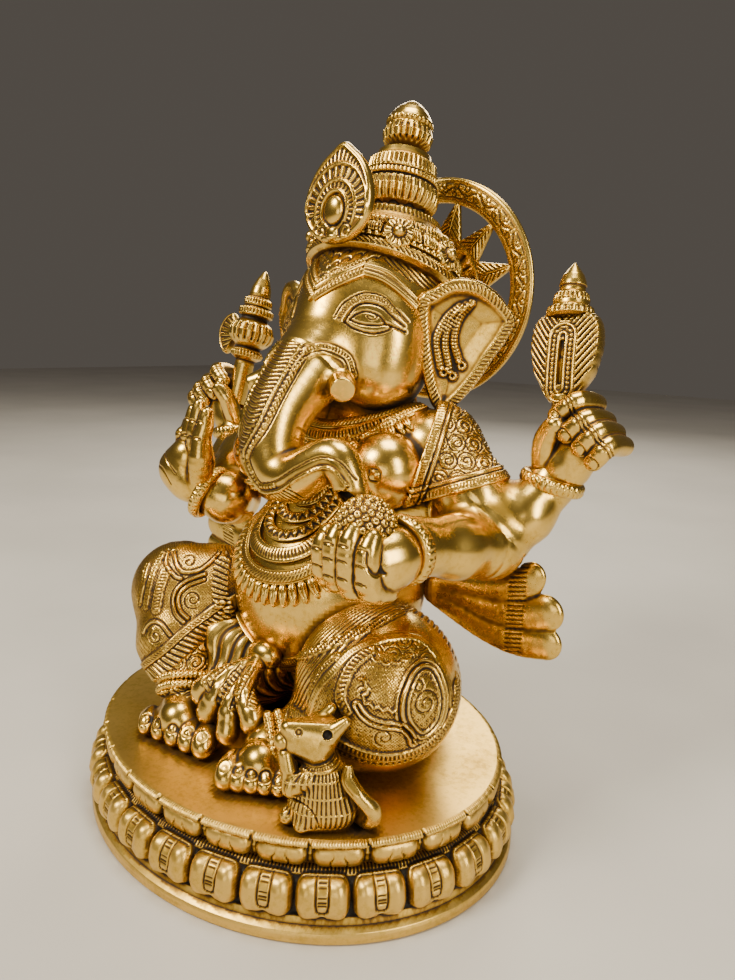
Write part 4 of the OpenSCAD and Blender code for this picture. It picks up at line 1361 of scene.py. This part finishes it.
def garland():
    necklace("long_garland",
             (([(0, 139), (7, 141.5), (10, 149), (11, 158), (15, 170)], 1.8, 0.8, rope_band),
              ([(0, 133), (9, 136), (12.5, 146), (12.5, 157), (17, 169)], 2.6, 1.0, tooth_band),
              ([(0, 126.5), (11, 130), (15, 141), (15, 155), (20, 168)], 2.6, 1.0, tooth_band),
              ([(0, 119.5), (14, 123), (20, 135), (19, 150), (22, 165)], 3.2, 1.2, leaf_band),
              ([(0, 111), (17, 115), (26, 128), (25, 142), (22, 158)], 3.2, 1.0, rope_band)),
             [(0, 109), (18, 113), (28, 126), (28, 140), (23, 156)], 3.8, (10.5, 2.1, 2.2))


def hoop(at, axis, r, start, n):
    """Points round a ring about an axis; start sets where it begins."""
    x = unit(np.cross(axis, start))
    a = angles(int(n * SPARSE))[:, None]
    return at + r * (np.cos(a) * x + np.sin(a) * np.cross(axis, x))


def bangle(at, toward, r):
    """A ring with a hatched band each side of its middle line."""
    ring = hoop(at, unit(toward - at), r, Y + 0.3 * X, 460)

    def relief(s, angle, side):
        edge = np.abs(side)
        return -0.5 * hatch(s, 2.3, 0.34) * band(edge, 0.9, 2.2, 0.2) - 0.5 * line(edge - 0.6, 0.4)
    return swept(ring, 3.1, 2.3, 26, relief, unit(ring - at), True)


def bangles():
    for side, word in ((1, "left"), (-1, "right")):
        piece(word + "_rear_bangle", bangle(flip(REAR_WRIST, side), flip(REAR_FIST, side), 11.4))
    piece("left_front_bangle", bangle(vec(66.6, -17.5, 135.8), vec(66, -30, 135.4), 11.4))
    piece("right_front_bangle", bangle(vec(-63.6, 2, 133.4), vec(-74, -2, 139), 12))


def anklet(at, toward, r):
    """Two hatched rings side by side, pressed flat where they meet the deck."""
    axis = unit(toward - at)
    rings = []
    for side in (-1, 1):
        ring = hoop(at + 2.1 * side * axis, axis, r, Y + 0.2 * Z, 420)
        ring[:, 2] = np.maximum(ring[:, 2], DECK + 1.6)
        rings.append(swept(ring, 2.1, 2, 16, lambda s, *_: -0.5 * hatch(s, 1.9, 0.36), unit(ring - at), True))
    return joined(*rings)


def anklets():
    right = anklet(vec(-35.5, -35, 53), vec(-32, -39, 47), 12.6)
    left = anklet(vec(23, -38, 50), vec(18, -44, 49), 10.6)
    piece("anklets", joined(right, left))


def modak():
    """A ball of sweets covered with round grains."""
    lo, hi = box("modak")
    r = (hi[0] - lo[0]) / 2 - 1.2
    at = (lo + hi) / 2 - 1.5 * Z
    grains = fibonacci(170) * r + at

    def form(p):
        return egg(p, at, (r, r, r))

    def relief(p, n):
        d = np.minimum.reduce([length(p - grain) for grain in grains])
        return 0.45 * line(d - 0.75, 0.75) - 0.5 * np.clip((d - 1.1) / 0.6, 0, 1) - 0.35 * line(d, 0.5)
    sculpted("modak", form, at - r, at + r, FINE * 0.7, relief)


def fibonacci(n):
    """n directions spread evenly round a ball."""
    k = np.arange(n) + 0.5
    z = 1 - 2 * k / n
    a = k * math.pi * (3 - math.sqrt(5))
    flat = np.sqrt(1 - z * z)
    return np.stack([flat * np.cos(a), flat * np.sin(a), z], -1)


def on_face(places):
    """A smooth line through places laid just over the face, and the face's normals there."""
    p = settle(face, smooth(places, 90), 6)
    normal = gradient(face, p)
    return p + 0.4 * normal, normal


def headband():
    """The hatched band that dips to a point between the eyes and runs plain to the temples."""
    tip, peak, temple = ((x, y, z) for (x, z), y in zip((BROW_TIP, BROW_PEAK, TEMPLE), (6, 16, 32)))
    dip = [tip, (9, 9, 234.5), peak]
    fall = [peak, (29, 22, 238.5), temple]
    rows = []
    for places, rise, half, thick, style in (
            (dip, 0, 2.3, 1.5, rope_band), (dip, 4.4, 1.2, 1.3, None), (dip, 7.4, 1.6, 1.3, rope_band),
            (fall, 0, 2.3, 1.5, double_band), (fall, 3.6, 1.0, 1.2, None)):
        for side in (1, -1):
            laid = on_face([(side * x, y, z + rise) for x, y, z in places])
            rows.append(ribbon(*laid, half, thick, style))
    piece("headband", joined(*rows))


def belt():
    """The belt under the belly, low in front and rising to each side."""
    rows = []
    for rise, style in ((0, rope_band), (4.6, leaf_band)):
        a = np.linspace(-1.35, 1.35, 220)
        z = 66 + rise + 26 * np.abs(np.sin(a)) ** 1.6
        r = np.sqrt(np.maximum(BELLY_R**2 - (z - BELLY[2]) ** 2, 1))
        p = np.stack([r * np.sin(a), BELLY[1] - r * np.cos(a), z], -1)
        normal = unit(p - BELLY)
        rows.append(ribbon(p + 0.7 * normal, normal, 2.4, 1.8, style, pitch=0.5))
    piece("waist_belt", joined(*rows))


def tusk(name, side, reach, tip_r):
    """A tusk that leaves the cheek forwards and outwards, and ends in a flat face."""
    root = vec(14 * side, 6, 194)
    way = unit(vec(13 * side, -12, -4.5))
    tip = root + 17 * reach * way
    path = smooth([[*root, 6], [*(root + tip) / 2, 5.6], [*tip, tip_r]], 12)

    def form(p):
        return carve(limb(p, path, 0.6), -((p - tip) @ way), 0.6)

    def relief(p, n):
        s = (p - root) @ way
        return 0.5 * line(s - 5, 1.6) - 0.4 * line(s - 3, 0.5) - 0.4 * line(s - 7, 0.5)
    sculpted(name, form, np.minimum(root, tip) - 8, np.maximum(root, tip) + 8, FINE, relief)


def tail():
    """The mouse's tail, which curls up behind it."""
    path = smooth([(58, -42, 41, 3.2), (66, -41, 40.5, 3.6), (74, -43, 41.5, 3.6), (78, -46, 48, 3.1),
                   (74, -49, 54, 2.6), (69, -49, 58, 2.8), (68, -48, 63, 1.2)], 90)

    def relief(s, angle, side):
        return -0.5 * hatch(angle, TAU / 7, 0.3) * band(s, 34, 50, 1)
    piece("mouse_tail", swept(path[:, :3], path[:, 3], path[:, 3], 26, relief), "antique")


# ---------------------------------------------------------------- cloth patterns on legs and shoulder

def cord(d):
    """A raised cord between two cut lines."""
    return 0.8 * line(d, 1.1) - 0.6 * line(np.abs(d) - 1.1, 0.5)


def stipple(u, v):
    return hatch(u + v, 1.3, 0.35) + hatch(u - v, 1.3, 0.35)


# lines of the left knee's pattern, each through places to the right of and above the knee's middle
LEFT_LINES = {
    "hem": [(-34, -10), (-22, -9), (-5, -12.5), (5, -15.5), (15, -17), (27, -15), (38, -9), (45, 1),
            (47, 12)],
    "waist": [(-46, 13), (-30, 18), (-18, 24), (-6.5, 31), (3.5, 40), (12, 50)],
    "edge": [(-22.5, -8), (-16, 8), (-11, 15), (-5, 23.5), (3, 29), (13, 33), (24, 34), (33, 27), (41, 12),
             (44, -4)],
    "oval": [(19.5, -1), (18, 7), (19.3, 13), (22, 18.8), (27, 21.7), (32.2, 19), (37, 8), (35, -4),
             (27, -9)],
    "wave": [(1, 4.5), (3, 2), (6.3, -0.4), (11, -1.8), (16.8, -2.4), (21.2, -4.8), (23.5, -11)],
    "leaf": [(2.5, 25), (-3, 18.5), (-5.4, 11.5), (-5.6, 6), (-3, 2)],
    "chain": [(0.5, 14), (3.6, 11), (2.4, 7), (5.5, 4.6), (10, 3.6), (15, 3)],
    "ripple": [(3.5, 23), (8, 21.6), (12, 22), (17, 23.4), (22, 27)],
    "rope": [(-18.5, -5), (-18, 5), (-15.6, 12), (-11, 18)]}
# middle to the right and up, radius, turns, hand, width and depth of its spirals
LEFT_CURLS = ((3, 9, 3.2, 1.5, 1, 0.5, 0.6), (28, 6, 6, 2.0, -1, 0.55, 0.6), (12, -7.5, 4, 1.7, 1, 0.5, 0.5),
              (24, 13, 3.6, 1.6, 1, 0.5, 0.5))


def curls(u, v, table):
    """Depth of all the spirals of a table."""
    return sum(depth * curl(u - x, v - y, *shape) for x, y, *shape, depth in table)


def left_leg_relief(p, n):
    """The dhoti over the left knee: hatched hem and belt, a leaf, scrolls and an oval on stippled ground."""
    u, v, w = chart(p, LEFT_KNEE, vec(0.35, -0.93, 0.12), True)

    def drawn(name):
        return follow(u, v, LEFT_LINES[name], closed=name == "oval")
    hem, s = drawn("hem")
    h = strap(hem, s, 4.2, 1.7, 1.2) + strap(hem + 4.6, s, 3.4, 2.3, 0.5)
    waist, s = drawn("waist")
    h += strap(waist, s, 4.6, 1.5, 1.0)
    edge, s = drawn("edge")
    h += 0.5 * strap(edge, s, 2.6, 1.2, 0.8) * (hem > 2.4)
    inside = (edge < -1.8) & (hem > 2.8) & (w > -16)
    oval, _ = drawn("oval")
    wave, _ = drawn("wave")
    leaf_d, s = drawn("leaf")
    motif = 1.2 * strap(leaf_d, s, 4.2, 1.8, 0.9, 0.5)
    chain, s = drawn("chain")
    lobes = chain - 1.1 * np.abs(np.sin(s * math.pi / 3.6))
    ripple, s = drawn("ripple")
    ripples = ripple + 1.2 * np.abs(np.sin(s * math.pi / 4.4))
    off = np.abs(oval)
    motif += 0.9 * line(off - 0.1, 1.0) - 0.6 * line(oval - 1.3, 0.5) + 0.7 * line(off - 2.4, 0.8)
    motif += cord(wave - 1.1) + cord(wave + 1.1) + 0.9 * line(lobes, 0.8) + 0.7 * line(ripples, 0.8)
    motif -= curls(u, v, LEFT_CURLS)
    kept_free = ((oval, 3), (wave, 2.4), (leaf_d, 2.6), (lobes, 0.8))
    free = np.minimum.reduce([np.abs(d) - half for d, half in kept_free]) >= 0
    h += inside * (motif - 0.22 * stipple(u, v) * free)
    h -= 0.45 * inside * scrolls(u, v, 8, 1.5, 0.5) * free * (v > 25)
    outside = (edge > 1.8) & (hem > 2.8)
    rope, s = drawn("rope")
    slant = hatch(u * 0.8 - v * 0.5, 2.4, 0.35) * (rope > 4.4)
    h += outside * (strap(rope - 2, s, 2.8, 1.4, 0.7) - 0.6 * slant)
    h -= 0.6 * (w < -4) * (edge > 2) * hatch(np.arctan2(u, v) * 30, 2.8, 0.35)
    return h * (p[:, 2] > DECK + 4)


# width, pitch and line of each leaf on the right knee, the lines of its cords, and its spirals
RIGHT_LEAVES = ((2.6, 1.3, [(-6.5, 17), (-9.5, 4.4), (-10.9, -7)]),
                (2.4, 1.3, [(-12.6, 12), (-13.4, 3), (-14.8, -6)]),
                (4.4, 1.5, [(-2.4, 9.5), (-4.4, 2), (-5.4, -7.5)]))
RIGHT_CORDS = ([(-4, 18), (-3.2, 13), (1.8, 7.8), (4.9, 6.7)],
               [(-1, 18), (4.1, 10.3), (10.2, 9.9), (15, 12.6), (19, 18)],
               [(15, 8.9), (6.2, 5), (2.2, -1.2), (3.7, -8.3), (8.1, -12.4)],
               [(15, 6.5), (8, 3.4), (4.4, -1.4), (5.6, -7), (9.6, -10.8)],
               [(-10.5, -18), (-9.2, -15), (-6.3, -12.8), (-2, -13.4), (3, -18)])
RIGHT_CURLS = ((11, -2.5, 4.4, 1.8, 1, 0.55, 0.7), (-4.2, -19, 3.6, 1.6, -1, 0.5, 0.7),
               (7, 14.5, 3.4, 1.5, 1, 0.5, 0.6))


def right_leg_relief(p, n):
    """The dhoti over the right knee: a slanting rope band, lobed pleats, leaves and scroll rings."""
    u, v, _ = chart(p, RIGHT_KNEE, TO_VIEWER)
    rope, s = follow(u, v, [(-16, -39), (-8, -31.6), (1.4, -24), (10, -15.4), (19, -8), (24, -4)])
    h = strap(rope, s, 3.2, 1.4, 1.2, 0.8)
    h += band(rope, -8.6, -2.2, 0.5) * (1.0 - 1.1 * hatch(s + 0.4 * rope, 2.5, 0.35))
    motif = -curls(u, v, RIGHT_CURLS)
    free = np.full(len(p), True)
    for wide, pitch, path in RIGHT_LEAVES:
        d, s = follow(u, v, path)
        motif += strap(d, s, wide, pitch, 0.9, 0.4)
        free &= np.abs(d) > wide / 2
    for path in RIGHT_CORDS:
        d, _ = follow(u, v, path)
        motif += cord(d)
        free &= np.abs(d) > 1.2
    h += (rope > 2.2) * (motif - 0.22 * stipple(u, v) * free)
    side_row, s = follow(u, v, [(19, 16), (20, 4.3), (21.6, -4), (26, -12.3), (34.5, -21)])
    h += band(side_row, -1, 6, 0.5) * (rope > -9) * (0.8 - 1.0 * hatch(s - 0.5 * side_row, 2.6, 0.36))
    below = rope < -9.2
    row, s = follow(u, v, [(-6, -46), (3.5, -42), (14.7, -37.4), (26, -32)])
    h += below * (1.1 * beads(s, row, 2.6, 1.2) - 0.6 * line(np.abs(row) - 2, 0.6)
                  - 0.6 * scrolls(u, v, 7.5, 1.5, 0.5))
    pleats = hatch(0.85 * p[:, 2] + 0.4 * p[:, 1] + 0.1 * p[:, 0], 3.4, 0.34)
    return np.where(n @ unit(TO_VIEWER) > 0.05, h, -0.8 * pleats) * (p[:, 2] > DECK + 6)


def seat_relief(p, n):
    """Pleats that fan out over the hips and lap."""
    a = np.arctan2(p[:, 0] + 4, 18 - p[:, 1])
    lift = p[:, 2] - DECK
    pleat = hatch(a * 34 + 0.18 * lift, 3.3, 0.33) * (lift > 8)
    rows = hatch(lift, 9, 0.1) * (p[:, 1] > 30)
    return strap(lift - 5, a * 40, 4, 1.7, 0.9) - 0.8 * pleat - 0.7 * rows


SHAWL_AT = vec(58, 24, 163)
SHAWL_FRONT = unit(vec(-9.2, -31))     # the way down along its front edge, in its own chart
SHAWL_HEM = unit(vec(26.8, 8.5))       # the way outwards along its lower edge


def shawl_edges(p):
    """Distances in from the front edge and from the lower edge of the shawl."""
    u, v, _ = chart(p, SHAWL_AT, TO_VIEWER)
    front = (u + 13.9) * -SHAWL_FRONT[1] + (v + 10.1) * SHAWL_FRONT[0]
    hem = (v + 18.4) * SHAWL_HEM[0] - (u + 12.4) * SHAWL_HEM[1]
    return u, v, front, hem


def shawl(p):
    body = blend(torso(p), limb(p, ARM, 5), 8) - 1.3
    _, _, front, hem = shawl_edges(p)
    return np.maximum(np.maximum(body, -front), -hem)


def shawl_relief(p, n):
    """A hatched strap and a cord along each edge, and scrolls on stippled ground inside them."""
    u, v, front, hem = shawl_edges(p)
    h = sum(0.6 * strap(d - 2.2, s, 3.6, 1.3, 0.8) + 0.8 * cord(d - 5.6) for d, s in ((front, v), (hem, u)))
    ground = 0.8 * scrolls(u, v, 7.6, 1.4, 0.6) + 0.2 * stipple(u, v)
    return h - 0.9 * ground * (front > 7) * (hem > 7)


def armlet_relief(p, n):
    """Two hatched straps round the right upper arm."""
    q = flip(p, -1) - vec(60, 34, 155)
    s = q @ unit(vec(19, -9, -35))
    angle = np.arctan2(q @ unit(vec(0.86, 0, 0.5)), -q[:, 1])
    return strap(s, angle * 14, 4.5, 1.7, 1.0) + strap(s - 5, angle * 14, 2.4, 1.6, 0.6)


# ---------------------------------------------------------------- make every piece

def around(node, margin):
    """Corners of a box that reaches past a CAD node."""
    lo, hi = box(node)
    return lo - margin, hi + margin


def arms_and_ears(side, word):
    for part, node in (("upper", "upper_arm"), ("rear", "rear_forearm"), ("front", "front_forearm")):
        name = f"{word}_{node}"
        relief = armlet_relief if name == "right_upper_arm" else None
        sculpted(name, arm_part(part, side), *around(name, 18), COARSE, relief)
    name = f"{word}_rear_hand"
    sculpted(name, fist(side), *around(name, 14), FINE, fist_relief(side))
    name = f"{word}_ear"
    sculpted(name, lambda p: np.maximum(ear(p), -side * p[:, 0]), *around(name, 8), FINE, ear_relief)


def figure():
    """Every sculpted piece, with the corners of the box that it is sampled in."""
    sculpted("seat_dhoti", seat, (-66, -42, DECK), (66, 72, 94), COARSE, seat_relief)
    sculpted("belly_torso", torso, (-50, -28, 50), (50, 78, 196), COARSE, torso_relief)
    sculpted("left_leg", left_leg, (0, -52, DECK), (88, 50, 108), FINE, left_leg_relief)
    sculpted("right_leg", right_leg, (-92, -54, DECK), (-5, 45, 116), FINE, right_leg_relief)
    for name, heel, first, last, lo, hi in FEET:
        sculpted(name, foot(heel, first, last), lo, hi, FINE, foot_relief(first, last))
    arms_and_ears(1, "left")
    arms_and_ears(-1, "right")
    sculpted("left_front_hand", cupped_hand, (34, -52, 114), (90, -2, 164), FINE, cupped_relief)
    sculpted("right_front_hand", raised_hand, (-96, -20, 122), (-44, 16, 190), FINE, raised_relief)
    sculpted("head", head, (-48, -22, 168), (48, 92, 262), FINE, head_relief)
    sculpted("trunk", trunk, (-24, -46, 134), (60, 20, 215), FINE, trunk_relief)
    tusk("left_tusk", 1, 0.85, 4.9)
    tusk("right_tusk", -1, 1.1, 3.6)
    sculpted("waist_sash_knot", knot, (-34, -56, DECK), (26, -8, 88), FINE, knot_relief)
    sculpted("mouse_body", mouse, (36, -70, DECK), (76, -34, 82), FINE * 0.8, mouse_relief, "antique")
    sculpted("shawl", shawl, (24, 0, 138), (90, 66, 200), FINE, shawl_relief)
    sculpted("left_sash", sash_form, (40, 30, 78), (110, 50, 128), FINE, sash_relief, "antique")
    sculpted("right_sash", sash_form, (-110, 30, 78), (-40, 50, 128), FINE, sash_relief, "antique")


# ---------------------------------------------------------------- patina and painted shade

CELL = 2.0          # mm between the places where crowding is counted


def occupied():
    """A blurred grid that is near 1 where brass is thick around, made from every piece's points."""
    lo = np.min([q["v"].min(0) for q in PIECES], 0) - 12
    hi = np.max([q["v"].max(0) for q in PIECES], 0) + 12
    g = np.zeros(np.ceil((hi - lo) / CELL).astype(int) + 1)
    for q in PIECES:
        g[tuple(((q["v"] - lo) / CELL).round().astype(int).T)] = 1
    for axis in (0, 1, 2, 0, 1, 2):
        g = (np.roll(g, 1, axis) + g + np.roll(g, -1, axis)) / 3
    return g, lo


def crowding(grid, p):
    """How much brass is around points in open space."""
    g, lo = grid
    i = np.clip(((p - lo) / CELL).round().astype(int), 0, np.array(g.shape) - 1)
    return g[tuple(i.T)]


def patina_and_painted_shade(q, grid):
    """Patina from 0, bare brass, to 1, black, by how deep each point lies, with painted shade added where
    other brass crowds in front of it.
    """
    v, quads = q["v"], q["q"]
    n = mesh_normals(v, quads)
    fine, wide = (hollowness(v, quads, n, rounds) for rounds in (3, 14))
    # painted shade: darker where other brass lies close in front of the surface, as in the gaps between parts
    close = crowding(grid, v + 3.5 * n) + 0.8 * crowding(grid, v + 7 * n)
    deep = 3.4 * np.clip(fine, 0, None) + 1.7 * np.clip(wide, 0, None)
    raised = np.clip(-wide, 0, 0.5)
    return np.clip(0.05 + deep + np.clip(close - 0.42, 0, 1) - 0.5 * raised, 0, 1)


# ---------------------------------------------------------------- materials

def nodes_of(name):
    mat = bpy.data.materials.new(name)
    mat.use_nodes = True
    tree = mat.node_tree
    return mat, tree, tree.nodes["Principled BSDF"]


def add(tree, kind, **values):
    node = tree.nodes.new(kind)
    for key, value in values.items():
        if key in node.inputs:
            node.inputs[key].default_value = value
        else:
            setattr(node, key, value)
    return node


def ramp(tree, source, stops):
    node = tree.nodes.new("ShaderNodeValToRGB")
    while len(node.color_ramp.elements) < len(stops):
        node.color_ramp.elements.new(0.5)
    for element, (at, colour) in zip(node.color_ramp.elements, stops):
        element.position = at
        element.color = (*colour, 1)
    tree.links.new(source, node.inputs["Fac"])
    return node.outputs["Color"]


def mapped(tree, source, *limits):
    """source carried from one pair of limits to another."""
    names = ("From Min", "From Max", "To Min", "To Max")
    node = add(tree, "ShaderNodeMapRange", **dict(zip(names, limits)))
    tree.links.new(source, node.inputs["Value"])
    return node.outputs["Result"]


def noise(tree, scale, detail, rough=0.5):
    """Noise over the object's own coordinates."""
    node = add(tree, "ShaderNodeTexNoise", Scale=scale, Detail=detail, Roughness=rough)
    tree.links.new(add(tree, "ShaderNodeTexCoord").outputs["Object"], node.inputs["Vector"])
    return node.outputs["Fac"]


def plus(tree, a, b, clamp=False):
    node = add(tree, "ShaderNodeMath", operation="ADD", use_clamp=clamp)
    tree.links.new(a, node.inputs[0])
    tree.links.new(b, node.inputs[1])
    return node.outputs[0]


def clouded(name, scale, detail, dark, light):
    """A material whose colour wanders between two, with what is needed to go on with it."""
    mat, tree, shader = nodes_of(name)
    cloud = noise(tree, scale, detail)
    tree.links.new(ramp(tree, cloud, [(0.3, dark), (0.7, light)]), shader.inputs["Base Color"])
    return mat, tree, shader, cloud


BROWN, BLACK = (0.10, 0.047, 0.012), (0.012, 0.007, 0.004)


def brass(name, bright, body, shade, rough, grain):
    """Cast brass: bare metal on the high places, brown then black patina in the recesses, and the same dark
    colours as painted shade between parts.
    """
    mat, tree, shader = nodes_of(name)
    link = tree.links.new
    # one attribute holds the patina in the hollows and the painted shade between parts
    patina_and_shade = add(tree, "ShaderNodeAttribute", attribute_name="patina_and_shade").outputs["Fac"]
    speck = noise(tree, 420, 5, 0.7)
    wander = mapped(tree, noise(tree, 38, 6, 0.62), 0.3, 0.75, -0.07, 0.13)
    fleck = mapped(tree, speck, 0.45, 0.75, -0.03, 0.14)
    depth = plus(tree, plus(tree, patina_and_shade, wander), fleck, True)
    stops = [(0.0, bright), (0.16, body), (0.42, shade), (0.68, BROWN), (0.95, BLACK)]
    link(ramp(tree, depth, stops), shader.inputs["Base Color"])
    link(mapped(tree, depth, 0.45, 0.9, 1.0, 0.35), shader.inputs["Metallic"])
    link(mapped(tree, depth, 0.05, 0.7, rough, 0.62), shader.inputs["Roughness"])
    bump = add(tree, "ShaderNodeBump", Strength=grain, Distance=0.0004)
    link(speck, bump.inputs["Height"])
    link(bump.outputs["Normal"], shader.inputs["Normal"])
    return mat


def steel():
    """Dull grey steel for the bolts."""
    mat, tree, shader, cloud = clouded("bolt_steel", 300, 4, (0.30, 0.30, 0.29), (0.62, 0.62, 0.60))
    tree.links.new(mapped(tree, cloud, 0.3, 0.7, 0.3, 0.5), shader.inputs["Roughness"])
    shader.inputs["Metallic"].default_value = 1.0
    return mat


# ---------------------------------------------------------------- into Blender

def placed(name, data, axes=None, at=None):
    """A new object in the scene; axes are its own X, Y and Z."""
    obj = bpy.data.objects.new(name, data)
    if axes is not None:
        obj.matrix_world = Matrix([*np.column_stack([*axes, at]), (0, 0, 0, 1)])
    bpy.context.scene.collection.objects.link(obj)
    return obj


def build(q, grid, material):
    """Turns a kept mesh into a Blender object that takes the place of its CAD node."""
    mesh = bpy.data.meshes.new(q["name"])
    v, quads = q["v"] * MM + FOOT, q["q"]
    corners = np.ones((len(quads), 4), bool)
    corners[:, 3] = quads[:, 2] != quads[:, 3]
    loops, sizes = quads[corners], corners.sum(1)
    mesh.vertices.add(len(v))
    mesh.vertices.foreach_set("co", v.astype(np.float32).ravel())
    mesh.loops.add(len(loops))
    mesh.loops.foreach_set("vertex_index", loops.astype(np.int32))
    mesh.polygons.add(len(quads))
    mesh.polygons.foreach_set("loop_start", np.r_[0, np.cumsum(sizes)[:-1]].astype(np.int32))
    mesh.polygons.foreach_set("loop_total", sizes.astype(np.int32))
    mesh.polygons.foreach_set("use_smooth", np.ones(len(quads), bool))
    mesh.update(calc_edges=True)
    mesh.validate()
    # patina in the hollows and painted shade where pieces crowd together
    values = mesh.attributes.new("patina_and_shade", "FLOAT", "POINT")
    values.data.foreach_set("value", patina_and_painted_shade(q, grid).astype(np.float32))
    mesh.materials.append(material)
    obj = placed(q["name"] + "_cast", mesh)
    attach(obj, "root")
    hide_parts(q["name"])


def camera():
    """The viewer stands to the statue's left, above its middle, and the picture leans a little."""
    turn, pitch, roll = math.radians(36.7), math.radians(12.32), math.radians(2.15)
    level = vec(-math.sin(turn), math.cos(turn), 0)
    right = vec(math.cos(turn), math.sin(turn), 0)
    ahead = math.cos(pitch) * level - math.sin(pitch) * Z
    up = math.cos(pitch) * Z + math.sin(pitch) * level
    lean_right = math.cos(roll) * right + math.sin(roll) * up
    lean_up = math.cos(roll) * up - math.sin(roll) * right
    data = bpy.data.cameras.new("camera")
    data.lens = 26.45
    data.sensor_width = data.sensor_height = 36
    data.sensor_fit = "VERTICAL"
    data.clip_start = 0.02
    place = vec(0.2073, -0.230, 0.2135) + FOOT
    bpy.context.scene.camera = placed("camera", data, (lean_right, lean_up, -ahead), place)


# name, place, width and height, power and colour of each light
LIGHTS = (
    ("key", vec(-0.35, -0.85, 1.1), (0.4, 0.4), 19, (1.0, 0.92, 0.73)),
    ("side", vec(1.1, -0.3, 0.6), (0.25, 0.8), 10, (1.0, 0.92, 0.72)),
    ("fill", vec(0.55, -1.2, 0.35), (0.7, 0.5), 3.2, (1.0, 0.92, 0.75)),
    ("top", vec(0.1, 0.1, 1.5), (0.6, 0.6), 17, (1.0, 0.93, 0.77)),
    ("back", vec(-0.5, 1.1, 0.8), (0.7, 0.4), 10, (1.0, 0.92, 0.75)))


def soft_light(name, at, size, power, colour):
    """A rectangular lamp that faces the statue's middle."""
    data = bpy.data.lights.new(name, "AREA")
    data.shape = "RECTANGLE"
    data.size, data.size_y = size
    data.energy = power
    data.color = colour
    z = unit(at - FOOT - vec(0, 0, 0.16))
    x = unit(np.cross(Z, z))
    placed(name, data, (x, np.cross(z, x), z), at)


def studio():
    """A pale floor, the lamps and a dim warm surrounding."""
    mat, _, shader, _ = clouded("pale_floor", 6, 5, (0.50, 0.475, 0.45), (0.56, 0.53, 0.505))
    shader.inputs["Roughness"].default_value = 0.6
    mesh = bpy.data.meshes.new("floor")
    half = 3.0
    corners = [(x * half, y * half, 0) for x, y in ((-1, -1), (1, -1), (1, 1), (-1, 1))]
    mesh.from_pydata(corners, [], [range(4)])
    mesh.materials.append(mat)
    placed("floor", mesh)
    for light in LIGHTS:
        soft_light(*light)
    world = bpy.data.worlds.new("studio")
    world.use_nodes = True
    sky = world.node_tree.nodes["Background"].inputs
    sky["Color"].default_value = (0.40, 0.35, 0.30, 1)
    sky["Strength"].default_value = 0.22
    bpy.context.scene.world = world


camera()
studio()
pedestal()
figure()
crown()
plaque()
halo()
noose_emblem()
axe()
collar()
garland()
bangles()
anklets()
modak()
headband()
belt()
tail()

# bright, body and shade colours, roughness and grain of each kind of brass
FINISHES = {
    "polished": ((0.86, 0.57, 0.13), (0.66, 0.40, 0.06), (0.32, 0.165, 0.025), 0.23, 0.10),
    "satin": ((0.76, 0.50, 0.12), (0.58, 0.365, 0.06), (0.30, 0.16, 0.025), 0.38, 0.18),
    "antique": ((0.80, 0.53, 0.12), (0.58, 0.355, 0.055), (0.26, 0.135, 0.022), 0.26, 0.12)}
metals = {kind: brass(kind + "_brass", *look) for kind, look in FINISHES.items()}
space = occupied()
for made in PIECES:
    build(made, space, metals[made["finish"]])

for cad_node, metal in (("figure_bolts", steel()), ("halo_screw", metals["antique"])):
    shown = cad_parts[cad_node]
    shown.data.materials.clear()
    shown.data.materials.append(metal)
